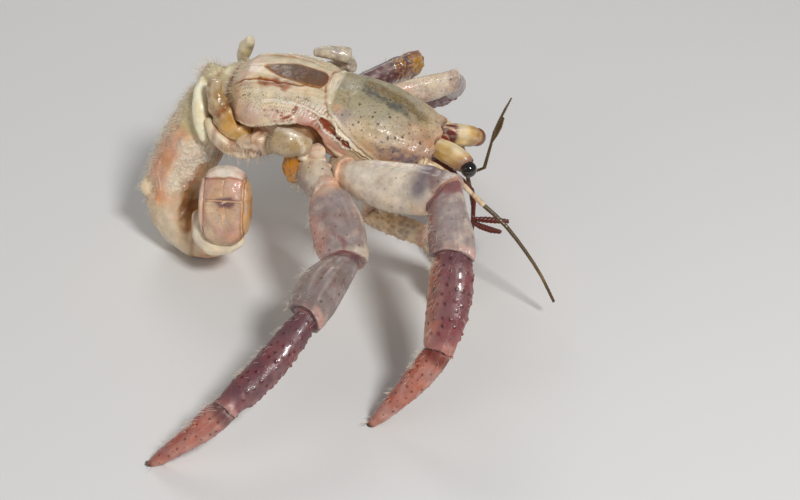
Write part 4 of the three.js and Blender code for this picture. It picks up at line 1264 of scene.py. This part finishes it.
def speck_carapace(skin, own, area):
    """Rows and fields of fine dark specks."""
    row = on_line(own, SPECK_ROW, 0.55) * area.on_trunk * ramp(-0.3, 0.2, noise(own, 0.5, 102))
    dotted(skin, 0.24, 0.10, 0.0, DOT_BROWN, 101, row, 0.95)
    rear = on_spot(own, *REAR_SPECKS)
    below_row = 0.9 * on_line(own, LOW_SPECK_ROW, 1.0)
    dotted(skin, 0.26, 0.07, 0.0, DOT_BROWN, 103, np.maximum(rear, below_row) * area.on_trunk, 0.85)
    dotted(skin, 0.6, 0.055, 0.0, DOT_BROWN, 106, area.flank * area.behind, 0.6)


def finish_flank(skin, own, area):
    """The soft tissue below the carapace, with its gold fold."""
    x, _, z = own.T
    fold = ramp(1.5, 0.9, line_distance(own, GOLD_FOLD[0])[0]) * area.on_trunk
    tissue = ramp(2.2, 1.6, line_distance(own, TISSUE_LINE)[0]) * area.on_trunk
    skin.lift(0.12 * tissue * rough_noise(own, 0.7, 80))
    top = np.interp(x, *FLANK_TOP)
    below = ramp(0.2, -0.5, z - top) * area.on_trunk
    skin.paint(PEACH, 0.6 * below)
    skin.paint(RUST, 0.4 * below * ramp(-0.2, 0.6, noise(own, 1.0, 104)))
    skin.paint(PALE_CREAM, 0.85 * fold)
    skin.paint(CREAM, 0.6 * tissue)
    skin.paint(OCHRE, 0.6 * np.maximum(fold, tissue) * ramp(0.1, 0.7, noise(own, 1.1, 84)))
    skin.wet = np.where(below + area.slots > 0.3, 1.5, skin.wet) - 0.55 * area.panel
    skin.wet = skin.wet - 0.6 * np.maximum(fold, tissue)


def shape_abdomen(skin, along, on_abdomen):
    """Shapes and paints the abdomen, and says where its granules glitter."""
    places = skin.points
    x, _, z = places.T
    uneven = wander(places, 0.5, 1.4, 110)
    plump = rough_noise(places, 2.6, 112)
    salmon = on_line(uneven, SALMON_BAND, 3.0) * on_abdomen
    hatching = np.sin(x * 15 + z * 2 + 1.6 * noise(places, 1.4, 111))
    leftmost = ramp(-18.2, -20.0, x)
    broken = ramp(0.0, 0.5, noise(places, 0.6, 116)) * leftmost
    glitter = on_line(uneven, GLITTER, 2.3) * on_abdomen
    furrow = on_line(wander(places, 0.15, 0.8, 117), DARK_FURROW, 0.85) * on_abdomen
    recess = on_line(uneven, RECESS, 1.7) * on_abdomen
    crescent = ramp(2.2, 1.2, line_distance(to_tail(places), CRESCENT[0])[0])
    wrinkles = np.sin(along * 75 + 2.5 * noise(places, 2.4, 118)) * ramp(0.34, 0.2, along)

    outer = ramp(0.35, 1.0, skin.normals() @ ABDOMEN_BACK) * on_abdomen
    folds = np.max([bell(at, 0.02, along + 0.01 * plump) for at in BACK_FOLDS], axis=0) * outer
    skin.lift(on_abdomen * (0.10 * plump + 0.05 * wrinkles) - 0.16 * folds)
    skin.lift(0.03 * salmon * hatching * broken - 0.6 * furrow - 0.2 * recess)

    skin.paint(YELLOW_CREAM, 0.95 * on_abdomen * ramp(0.44, 0.30, along + 0.03 * plump))
    skin.paint(OLIVE, 0.12 * on_abdomen * ramp(0.34, 0.22, along) * ramp(0.0, 0.8, plump))
    skin.paint(CREAM, 0.9 * on_abdomen * ramp(0.60, 0.72, along))
    skin.paint(TAN, 0.35 * on_abdomen * ramp(0.62, 0.8, along) * ramp(-0.4, 0.6, plump))
    skin.paint(PALE_CREAM, 0.5 * on_abdomen * bell(0.44, 0.02, along + 0.02 * plump))
    skin.paint(PEACH, 0.35 * outer * ramp(0.0, 0.8, rough_noise(places, 1.5, 109)))
    skin.paint(OCHRE, 0.2 * folds)
    skin.paint(PEACH, 0.9 * salmon)
    skin.paint(SALMON, 0.55 * salmon * ramp(-0.4, 0.6, plump))
    skin.paint(GLOW_WHITE, 0.6 * salmon * ramp(0.2, 0.9, hatching) * broken)
    skin.paint(PALE_CREAM, 0.8 * ramp(1.9, 1.0, lengths_of(places - SIDE_BUMP[0])))
    # The granules' field: partly their own pale colour, partly painted light against the body's
    # shade, with painted glints of white on the raised dots.
    skin.paint(PALE_CREAM, 0.85 * glitter)
    skin.paint(TAN, 0.25 * glitter * ramp(-0.1, 0.6, noise(places, 0.5, 113)))
    skin.paint(GLOW_WHITE, 0.4 * glitter)
    dotted(skin, 0.31, 0.17, 0.15, GLOW_WHITE, 114, glitter, 0.95)
    # Painted shade: rust-brown laid in the carved furrow.
    skin.paint(RUST, 0.95 * furrow)
    skin.paint(TAN, 0.7 * recess)
    skin.paint(SALMON, 0.5 * recess * ramp(-0.2, 0.6, noise(places, 0.8, 120)))
    skin.paint(RUST, 0.35 * recess * ramp(0.0, 0.7, noise(places, 1.0, 119)))
    # Pale cream, with white over it as painted light on this shaded underside.
    skin.paint(PALE_CREAM, 0.95 * crescent)
    skin.paint(GLOW_WHITE, 0.3 * crescent)
    skin.paint(YELLOW_CREAM, 0.3 * crescent * ramp(0.0, 0.8, plump))
    skin.paint(PINK, 0.2 * (1 - crescent) * on_abdomen * ramp(0.2, 0.8, noise(places, 1.6, 115)))
    skin.paint(RUST, 0.55 * bell(-10.9, 0.35, to_trunk(places)[:, 0]))
    skin.wet = 1 + 1.4 * glitter
    return glitter


def soft_lumps():
    """The separate smooth lobes that lie against the body's right side."""
    leaf = wrapped([], voxel=0.10, rounding=0.2, base=LEAF_CREAM, lumps=string_of(*LEAF_LOBE))
    leaf.paint(PALE_CREAM, 0.3 * ramp(-0.2, 0.6, noise(leaf.points, 1.6, 171)))
    show("leaf_lobe", leaf, FLESH)
    balls = [(from_trunk(centre), radius) for centre, radius in GILL_BULBS]
    bulbs = wrapped([], voxel=0.09, rounding=0.12, base=GLOW_WHITE, lumps=balls)
    bulbs.lift(0.08 * rough_noise(bulbs.points, 0.8, 176))
    bulbs.paint(PEACH, 0.65 * ramp(-0.3, 0.5, noise(bulbs.points, 0.9, 172)))
    bulbs.paint(OCHRE, 0.3 * ramp(0.1, 0.8, noise(bulbs.points, 0.6, 177)))
    # Painted salmon shade between the bulbs and painted highlight on their tops.
    bulbs.paint_hollow_shade(SALMON, 0.7)
    show("gill_bulbs", bulbs, GLASSY_FLESH)
    lumps = moved(AMBER_BLOCK, from_trunk)
    block = wrapped([], voxel=0.09, rounding=0.15, base=AMBER, lumps=lumps)
    block.lift(0.05 * rough_noise(block.points, 0.9, 173))
    block.paint(GOLDEN_BROWN, 0.3)
    block.paint(RUST, 0.4 * ramp(-0.2, 0.7, noise(block.points, 0.9, 174)))
    block.paint(GOLD, 0.5 * ramp(0.1, 0.8, noise(block.points, 0.6, 175)))
    show("amber_gland", block, GLASSY_FLESH)


# ---- shield --------------------------------------------------------------------------------------
SLATE_STREAK = [[2.7, -0.2, 4.0], [4.4, -0.8, 4.0], [6.1, -1.1, 3.8], [7.7, -1.35, 3.4]]
OLIVE_EDGE = [[3.6, 0.9, 4.1], [6.5, 0.5, 3.9], [9.6, -0.4, 2.9]]
PURPLE_PATCH = [[6.4, -5.1, 1.0], [8.0, -5.0, 0.6], [9.4, -4.8, 0.15], [10.3, -4.5, -0.05]]
# The line of a painted highlight along the shield's front.
FRONT_GLOW = [[7.2, -3.3, 2.9], [10.3, -3.2, 1.95], [11.6, -3.1, 1.1]]
LARGE_DOTS = [(4.9, -3.5), (5.7, -3.9), (3.7, -4.4), (6.0, -0.5), (7.1, -4.6), (7.8, -4.3),
              (8.8, -2.3), (10.4, -3.4), (8.5, -3.9), (5.0, -2.9), (6.6, -2.7), (3.2, -2.6)]
BROW_HOLLOW = ([[11.8, -1.9, 0.2], [12.4, 0.0, 0.4], [11.8, 1.9, 0.2]], [0.55, 0.8, 0.55])
SHALLOW_DENT = [[1.4, -1.5, 3.8], [1.8, -3.0, 3.4]]


def shield():
    """The hard front half of the carapace. Gives back its skin and its points in trunk axes."""
    skin = wrapped(["carapace_shield"], voxel=0.075, rounding=0.17, base=SHIELD_BEIGE)
    own = to_trunk(skin.points)
    x, y, z = own.T
    uneven = wander(own, 0.45, 1.5, 121)
    broad = rough_noise(own, 2.4, 122)
    rim = -border_distance(own)
    brow = ramp(10.9, 11.5, x)
    lobed = 0.5 * bell(0, 0.8, y) + 0.35 * bell(2.9, 0.7, np.abs(y))
    push = ramp(10.3, 11.6, x) * ramp(0.2, 1.0, z) * (lobed - 0.1)
    skin.points = skin.points + np.outer(push, trunk_turn()[:, 0])
    grains, _, _ = scatter(own, 0.30, 120)
    skin.lift(0.05 * rough_noise(own, 1.0, 123) + 0.02 * ramp(0.14, 0.02, grains))
    skin.lift(0.10 * bell(0.3, 0.2, rim) + 0.12 * bell(11.4, 0.25, x))
    skin.lift(-0.12 * on_line(own, SHALLOW_DENT, 0.5))
    skin.lift(0.10 * on_line(uneven, OLIVE_EDGE, 1.2) * rough_noise(own, 0.5, 128))

    skin.paint(SHIELD_GREEN, ramp(1.4, 3.6, z + 0.5 * broad))
    front_right = ramp(6.8, 10.8, x + 0.8 * broad) * ramp(-0.8, -2.6, y)
    skin.paint(SHIELD_ROSE, 0.9 * front_right)
    skin.paint(SHIELD_ROSE, 0.65 * ramp(2.2, -0.4, z + 0.4 * broad))
    # Painted highlight along the shield's front.
    skin.paint(CREAM, 0.2 * on_line(uneven, FRONT_GLOW, 1.7))
    skin.paint(CREAM, 0.45 * ramp(0.3, 1.0, broad))
    skin.paint(SLATE_PURPLE, 0.18 * ramp(0.3, 1.0, -broad))
    skin.paint(OLIVE, 0.75 * on_line(uneven, OLIVE_EDGE, 1.2))
    fine = ramp(-0.7, 0.5, rough_noise(own, 0.6, 117))
    slate = on_line(wander(uneven, 0.25, 0.4, 118), SLATE_STREAK, 1.0)
    skin.paint(SLATE, (0.35 + 0.5 * fine) * slate)
    purple = on_line(wander(own, 0.5, 0.6, 119), PURPLE_PATCH, 1.0)
    skin.paint(SLATE_PURPLE, 0.85 * fine * purple)
    skin.paint(LAVENDER, 0.7 * on_spot(uneven, [1.9, -4.2, 2.7], [1.6, 1.4, 1.4]))
    skin.paint(PEACH, 0.4 * on_spot(uneven, [1.2, -3.4, 3.1], [0.8, 0.9, 0.8]))
    skin.paint(CREAM, 0.5 * on_spot(uneven, [3.4, -4.6, 1.7], [2.6, 1.8, 1.8]))
    skin.paint(PEACH, 0.75 * brow * ramp(-0.4, 0.5, noise(own, 0.8, 124)))
    skin.paint(PALE_CREAM, 0.6 * bell(0.28, 0.16, rim))
    skin.paint(RUST, 0.75 * ramp(0.12, 0.0, rim))
    skin.paint(RUST, 0.5 * bell(11.25, 0.12, x) * ramp(-0.2, 0.5, noise(own, 0.5, 125)))

    away = np.stack([np.hypot(x - dot_x, y - dot_y) for dot_x, dot_y in LARGE_DOTS]).min(axis=0)
    away = away + 0.05 * noise(own, 0.2, 126)
    skin.lift(-0.03 * ramp(0.2, 0.05, away) * (z > 0))
    skin.paint(DOT_BROWN, 0.85 * ramp(0.17, 0.09, away) * (z > 0))
    dotted(skin, 0.75, 0.10, -0.02, DOT_BROWN, 127, 1.0, 0.8)
    dotted(skin, 0.38, 0.065, 0.0, DOT_BROWN, 131, 1.0, 0.65)
    # Painted shade in the hollows and painted highlight on the ridges.
    skin.paint_hollow_shade(RUST, 0.3, 0.05)
    show("shield_armour", skin, ARMOUR, ["carapace_shield"])
    return skin, own


def brow_hollow():
    """The dark ribbed hollow between the shield's front and the eyestalks."""
    lumps = moved(BROW_HOLLOW, from_trunk)
    skin = wrapped([], voxel=0.07, rounding=0.1, base=BLOOD, lumps=lumps)
    own = to_trunk(skin.points)
    ribs = np.sin(own[:, 1] * 9)
    skin.lift(0.06 * ribs)
    skin.paint(OCHRE, 0.8 * ramp(0.2, 0.9, ribs))
    skin.paint(PALE_CREAM, 0.7 * ramp(0.75, 1.0, ribs))
    show("brow_hollow", skin, MEMBRANE)


# ---- eyes, feelers and mouthparts ----------------------------------------------------------------
EYE_RADIUS = {"right": 0.86, "left": 1.02}
LEFT_EYE_SET_BACK = 0.35


def eye(label):
    """An eyestalk and its ball. The left stalk's root is dark and ribbed, and its black ball is
    painted brown to cream on the side that faces the light, as painted light.
    """
    side = -1 if label == "right" else 1
    root_strength = 0.85 if label == "right" else 0.35
    stalk = wrapped([f"eyestalk_{label}"], voxel=0.065, rounding=0.12, base=STALK_CREAM)
    low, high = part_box(f"eye_{label}")
    ball_at = np.array((low + high) / 2) / MM
    if label == "left":
        ball_at = ball_at + LEFT_EYE_SET_BACK * unit(stalk.points.mean(axis=0) - ball_at)
    from_ball = lengths_of(stalk.points - ball_at)
    own = to_trunk(stalk.points)
    patches = noise(stalk.points, 1.1, 131)
    stalk.lift(0.22 + 0.04 * patches)
    stalk.paint(PALE_CREAM, 0.5 * ramp(-0.1, 0.7, patches))
    stalk.paint(OCHRE, 0.5 * ramp(2.0, 1.3, from_ball + 0.2 * patches))
    stalk.paint(BLOOD, root_strength * ramp(1.45, 1.05, from_ball))
    stalk.paint(OCHRE, 0.3 * bell(0.55, 0.3, side * own[:, 1] - 0.5 * (own[:, 0] - 12.2) - 1.35))
    if label == "left":
        root = ramp(2.6, 3.1, from_ball)
        ribs = ramp(0.3, 0.9, np.sin(own[:, 1] * 11))
        stalk.paint(BLOOD, 0.97 * root)
        stalk.paint(DOT_RED, 0.6 * root * (1 - ribs))
        stalk.paint(PEACH, 0.75 * root * ribs)
        stalk.wet = stalk.wet - 0.5 * root
    # Painted shade in the hollows and painted highlight on the ridges.
    stalk.paint_hollow_shade(RUST, 0.6, 0.05)
    show(f"eyestalk_{label}_skin", stalk, LEG_ARMOUR, [f"eyestalk_{label}"])
    ball = wrapped([f"eye_{label}"], voxel=0.05, rounding=0.16, base=NEAR_BLACK)
    ball.points = ball_at + unit(ball.points - ball_at) * EYE_RADIUS[label]
    if label == "left":
        # Painted light: dark red, rust and cream on the ball's side that faces up and to the right,
        # where the light falls.
        lit = (ball.points - ball_at) @ SHOWN_SIDE
        ball.paint(BLOOD, 0.85 * ramp(-0.5, 0.2, lit))
        ball.paint(RUST, 0.6 * ramp(0.2, 0.7, lit))
        ball.paint(STALK_CREAM, 0.7 * ramp(0.6, 1.0, lit))
    show(f"eye_{label}_ball", ball, GLASSY_EYE, [f"eye_{label}"])


def ringed(skin, step, depth):
    """Rings along a thin feeler, in its longest direction. Gives back their wave."""
    centre = skin.points.mean(axis=0)
    _, _, directions = np.linalg.svd(skin.points - centre, full_matrices=False)
    level = (skin.points - centre) @ directions[0]
    wave = np.sin(2 * math.pi * level / step)
    skin.lift(depth * wave)
    return wave


def feelers(label):
    """The long feeler's stem and whip, the short feeler, and the mouthpart below them."""
    stem_node, whip_node = (f"antenna_{label}_{part}" for part in ("stem", "whip"))
    tip = joint(stem_node, whip_node)
    bridge = string_of([tip, joint(whip_node, stem_node)], [0.30, 0.24])
    root = far_end(stem_node, tip)
    scale = string_of([root, root + 0.35 * (tip - root)], [0.6, 0.35])
    stem = wrapped([stem_node], 0.06, rounding=0.07, base=STALK_CREAM, lumps=bridge + scale)
    wave = ringed(stem, 1.9, 0.025)
    stem.paint(CREAM, 0.7)
    stem.paint(PALE_CREAM, 0.5 * ramp(-0.1, 0.7, noise(stem.points, 1.3, 141)))
    stem.paint(OCHRE, 0.5 * ramp(0.1, 0.7, noise(stem.points, 0.8, 144)))
    stem.paint(RUST, 0.55 * ramp(-0.75, -0.98, wave))
    # Painted shade in the hollows and painted highlight on the ridges.
    stem.paint_hollow_shade(RUST, 0.5, 0.05)
    show(f"{stem_node}_skin", stem, FEELER, [stem_node])
    whip = wrapped([whip_node], voxel=0.05, rounding=0.04, base=WHIP_OLIVE)
    wave = ringed(whip, 0.42, 0.008)
    whip.paint(DOT_BROWN, 0.6 * ramp(0.2, -0.8, wave))
    whip.paint(TAN, 0.4 * ramp(0.1, 0.8, noise(whip.points, 2.0, 143)))
    show(f"{whip_node}_skin", whip, FEELER, [whip_node])
    colour, extra = (BRUSH_RED, 0.04) if label == "right" else (WHIP_OLIVE, -0.05)
    brush = wrapped([f"antennule_{label}"], voxel=0.05, rounding=0.05, base=colour)
    brush.lift(extra)
    wave = ringed(brush, 0.26, 0.03)
    brush.paint(NEAR_BLACK, 0.55 * ramp(0.1, -0.8, wave))
    show(f"antennule_{label}_skin", brush, FEELER, [f"antennule_{label}"])
    palp = wrapped([f"maxilliped_{label}"], voxel=0.09, rounding=0.18, base=CREAM)
    palp.paint(PINK, 0.6 * ramp(-0.2, 0.6, noise(palp.points, 1.0, 142)))
    # Painted shade in the hollows and painted highlight on the ridges.
    palp.paint_hollow_shade(RUST, 0.4)
    show(f"maxilliped_{label}_skin", palp, LEG_ARMOUR, [f"maxilliped_{label}"])


# ---- small legs and tail -------------------------------------------------------------------------
OVAL_AT = np.array([-3.0, -7.0, -0.8])  # the middle of the right fourth leg's broad end
OVAL_HALF_SIZES = [2.35, 3.0, 1.85]


# Colours at the root and the tip, and the material.
SMALL_LEG_LOOKS = {
    "leg_4_right": (OVAL_BEIGE, OVAL_BEIGE, ARMOUR),
    "leg_4_left": (TAN, SILVER, LEG_ARMOUR),
    "leg_5_right": (GOLD, TAN, GLASSY_FLESH),
    "leg_5_left": (CREAM, YELLOW_CREAM, LEG_ARMOUR),
}


def small_legs(coat, tile, tiles):
    thorax = frame_points("thorax").mean(axis=0)
    for i, (name, (root_colour, tip_colour, material)) in enumerate(SMALL_LEG_LOOKS.items()):
        skin = wrapped([name], voxel=0.085, rounding=0.2, base=root_colour)
        at = Measure(skin, near_end(name, thorax), far_end(name, thorax, CUT_DEPTH))
        own = to_trunk(skin.points)
        skin.lift(0.12 + 0.06 * rough_noise(skin.points, 1.0, 151))
        skin.paint(tip_colour, ramp(0.35, 0.65, at.along))
        if name == "leg_4_right":
            paint_oval(skin, own)
        elif name == "leg_5_right":
            skin.lift(-0.2 * bell(0.62, 0.05, at.along))
            skin.paint(RUST, 0.6 * bell(0.62, 0.06, at.along))
            skin.paint(OCHRE, 0.4 * ramp(0.0, 0.8, noise(own, 1.2, 153)))
            skin.paint(PALE_CREAM, 0.35 * ramp(0.3, 0.8, noise(own, 0.8, 154)))
        elif name == "leg_4_left":
            flakes, _, _ = scatter(skin.points, 0.4, 155)
            skin.paint(GLOW_WHITE, 0.8 * ramp(0.18, 0.06, flakes))
            skin.paint(GREY_LAVENDER, 0.5 * ramp(0.1, 0.8, noise(own, 0.7, 156)))
        else:
            skin.paint(OLIVE, 0.4 * ramp(0.1, 0.8, noise(own, 0.8, 157)))
            skin.paint(GLOW_WHITE, 0.6 * ramp(0.88, 0.97, at.along))
        # Painted shade in the hollows and painted highlight on the ridges.
        skin.paint_hollow_shade(RUST, 0.5)
        show(f"{name}_skin", skin, material, [name])
        if name != "leg_5_right":
            everywhere, unwrap = np.ones(len(skin.points)), atlas(at, tile + i, tiles)
            coat.grow(skin, everywhere, unwrap, count=40, length=0.7, lie=at.axis * 0.3)


def paint_oval(skin, own):
    """A pale shield-shaped plate with a paler rim and fine dark specks."""
    x, y, _ = own.T
    squeeze = 0.8 * ramp(0.9, 2.6, OVAL_AT[0] - x) * (y < OVAL_AT[1] + 1.5)
    skin.points = skin.points + np.outer(squeeze, trunk_turn()[:, 0])
    offset = (to_trunk(skin.points) - OVAL_AT) / OVAL_HALF_SIZES
    reach = lengths_of(offset[:, [0, 2]])
    skin.lift(0.30 * ramp(1.0, 0.2, reach) * (y < OVAL_AT[1] + 0.6))
    skin.paint(SILVER, 0.4 * ramp(-0.2, 0.8, noise(own, 1.4, 152)))
    skin.paint(GLOW_WHITE, 0.6 * bell(0.93, 0.10, reach))
    dotted(skin, 0.45, 0.085, -0.01, BRICK, 158, ramp(1.2, 1.0, reach), 0.75)


TAIL_NODES = ["tergite_6", "telson", "uropod_right", "uropod_left"]
TAIL_BLOTCH = ([0.5, 0.45, 0], [1.3, 0.75, 1])  # its middle and half sizes


def tail():
    core = wrapped(TAIL_NODES, voxel=0.17, rounding=0.2, base=PEACH, swell=0.3)
    core.lift(0.04)
    show("tail_joint_skin", core, MEMBRANE)
    for node in TAIL_NODES:
        skin = wrapped([node], voxel=0.085, rounding=0.12, base=TAIL_BEIGE)
        skin.lift(0.12)
        own = to_tail(skin.points)
        uneven = wander(own, 0.12, 0.7, 160)
        across, rise = uneven[:, 0], uneven[:, 1]
        patches = rough_noise(own, 1.4, 161)
        skin.lift(0.04 * rough_noise(own, 0.9, 162))
        skin.paint(PINK, 0.55 * ramp(-0.3, 0.8, patches))
        skin.paint(PALE_CREAM, 0.35 * ramp(0.1, 0.9, -patches))
        if node == "tergite_6":
            bowed = rise + 0.12 * own[:, 0] ** 2 / 2
            lens = ramp(3.05, 3.25, bowed)
            lens_line = bell(3.1, 0.10, bowed)
            crease = bell(0.1, 0.09, across) * ramp(3.0, 2.6, rise) * ramp(0.9, 1.5, rise)
            skin.lift(-0.14 * crease - 0.10 * lens_line + 0.10 * lens)
            skin.paint(GLOW_WHITE, 0.9 * lens)
            skin.paint(RUST, 0.6 * lens_line)
            skin.paint(CORAL, 0.5 * crease)
            skin.paint(PINK, 0.4 * ramp(0.2, 1.0, np.abs(own[:, 0] - 0.1) / 2))
        if node == "telson":
            dents = bell(0.25, 0.25, across) * ramp(-3.0, -1.0, rise)
            skin.lift(-0.14 * dents)
            skin.paint(SALMON, 0.45 * ramp(0.5, 0.0, across + 2.0) * ramp(-2.4, -1.6, rise))
            dotted(skin, 0.4, 0.06, 0.0, BRICK, 163, 1.0, 0.6)
        if node in ("tergite_6", "telson"):
            joint_line = ramp(0.55, 0.1, np.abs(rise - 0.6))
            skin.paint(PLUM, 0.7 * joint_line * ramp(1.5, 0.4, np.abs(across - 0.3)))
            skin.paint(BRICK, 0.45 * ramp(0.25, 0.05, np.abs(rise - 0.6)))
            face = wander(own, 0.3, 0.5, 164) * [1, 1, 0]
            skin.paint(PLUM, 0.85 * on_spot(face, *TAIL_BLOTCH))
            skin.paint(OCHRE, 0.6 * ramp(1.85, 2.1, np.abs(across)))
        if node == "uropod_right":
            skin.paint(GOLD, 0.45 * ramp(-0.5, 0.5, patches))
            skin.paint(OCHRE, 0.6 * ramp(0.1, 0.8, np.sin(own[:, 0] * 9 + patches)))
        if node == "uropod_left":
            skin.paint(PINK, 0.6)
            skin.paint(PALE_CREAM, 0.6 * bell(-2.5, 0.2, across))
        # Painted shade in the hollows and painted highlight on the ridges.
        skin.paint_hollow_shade(RUST, 0.25)
        show(f"{node}_plate", skin, ARMOUR, [node])


# ---- coats and the whole crab --------------------------------------------------------------------
# Long bristles below the carapace: along a line, thick up to one distance from it and none past the
# next, how many, and the way they lean.
FRINGES = [
    ([[-9.5, -4.8, -4.6], [-7.0, -5.0, -4.6], [-3.5, -6.0, -3.4]],
     0.6, 1.8, 220, [-0.1, -0.2, -0.9]),
    ([[-2.4, -5.8, -3.0], [-2.0, -6.0, -5.0], [-1.2, -6.0, -5.6]],
     0.5, 1.6, 260, [-0.8, -0.1, -0.5]),
]

# What the coats' maps cover, in the trunk's axes.
TRUNK_FROM = -11
TRUNK_SPAN = 23
SHIELD_SPAN = 12.5
SHIELD_BREADTH = 14


def body_coat(skin, own, along, on_abdomen):
    """Fine fur on the abdomen's back, a tuft on its bump, and fringes below the carapace."""
    coat = Coat(COAT_SEED)
    x, y, z = own.T
    trunk_share = 0.5 * (x - TRUNK_FROM) / TRUNK_SPAN
    down_abdomen = np.where(on_abdomen > 0.5, 0.5 + along / 2, trunk_share)
    round_trunk = np.arctan2(z + 1, y) / (2 * math.pi) + 0.5
    unwrap = 0.03 + 0.94 * np.stack([down_abdomen, round_trunk], axis=-1)
    backward = unit(np.array([-0.5, -0.1, -0.6]))
    outer = ramp(0.2, 0.9, skin.normals() @ unit(np.array([-0.8, 0.1, 0.4])))
    furry = on_abdomen * outer * ramp(0.75, 0.55, along)
    coat.grow(skin, furry, unwrap, count=1500, length=0.8, lie=backward * 0.4, thick=0.016)
    top = ramp(1.9, 0.8, lengths_of(skin.points - TOP_BUMP[0]))
    coat.grow(skin, top, unwrap, count=160, length=1.1, lie=np.array([-0.3, -0.1, 0.3]))
    for line, inner, reach, count, lie in FRINGES:
        near = ramp(reach, inner, line_distance(own, line)[0])
        coat.grow(skin, near, unwrap, count, length=1.3, lie=np.array(lie), thick=0.02, stand=0.5)
    coat.show("body_bristles", "abdomen")


def shield_coat(skin, own):
    """Short whiskers along the shield's far edge and its brow."""
    coat = Coat(COAT_SEED + 2)
    x, y, _ = own.T
    unwrap = np.stack([0.03 + 0.94 * x / SHIELD_SPAN, 0.5 + y / SHIELD_BREADTH], axis=-1)
    brow = on_line(own, OLIVE_EDGE, 1.4) + ramp(11.0, 11.5, x)
    coat.grow(skin, brow, unwrap, count=200, length=0.55, lie=np.array([0.5, 0.0, 0.3]),
              colour=CREAM, thick=0.014)
    coat.show("shield_bristles", "shield")


def build():
    add_camera()
    add_studio()
    body, own, along, on_abdomen = soft_body()
    soft_lumps()
    shield_skin, shield_own = shield()
    brow_hollow()
    body_coat(body, own, along, on_abdomen)
    shield_coat(shield_skin, shield_own)
    leg_coat = Coat(COAT_SEED + 1)
    claws_from = len(LEG_LOOKS) * len(LEG_PARTS)
    small_from = claws_from + len(CLAW_BASES) * len(CLAW_PARTS)
    tiles = small_from + len(SMALL_LEG_LOOKS)
    for i, name in enumerate(LEG_LOOKS):
        walking_leg(name, leg_coat, i * len(LEG_PARTS), tiles)
    for i, name in enumerate(CLAW_BASES):
        claw(name, leg_coat, claws_from + i * len(CLAW_PARTS), tiles)
    small_legs(leg_coat, small_from, tiles)
    leg_coat.show("limb_bristles", "leg_upper")
    for label in ("right", "left"):
        eye(label)
        feelers(label)
    tail()
    add_floor()


build()
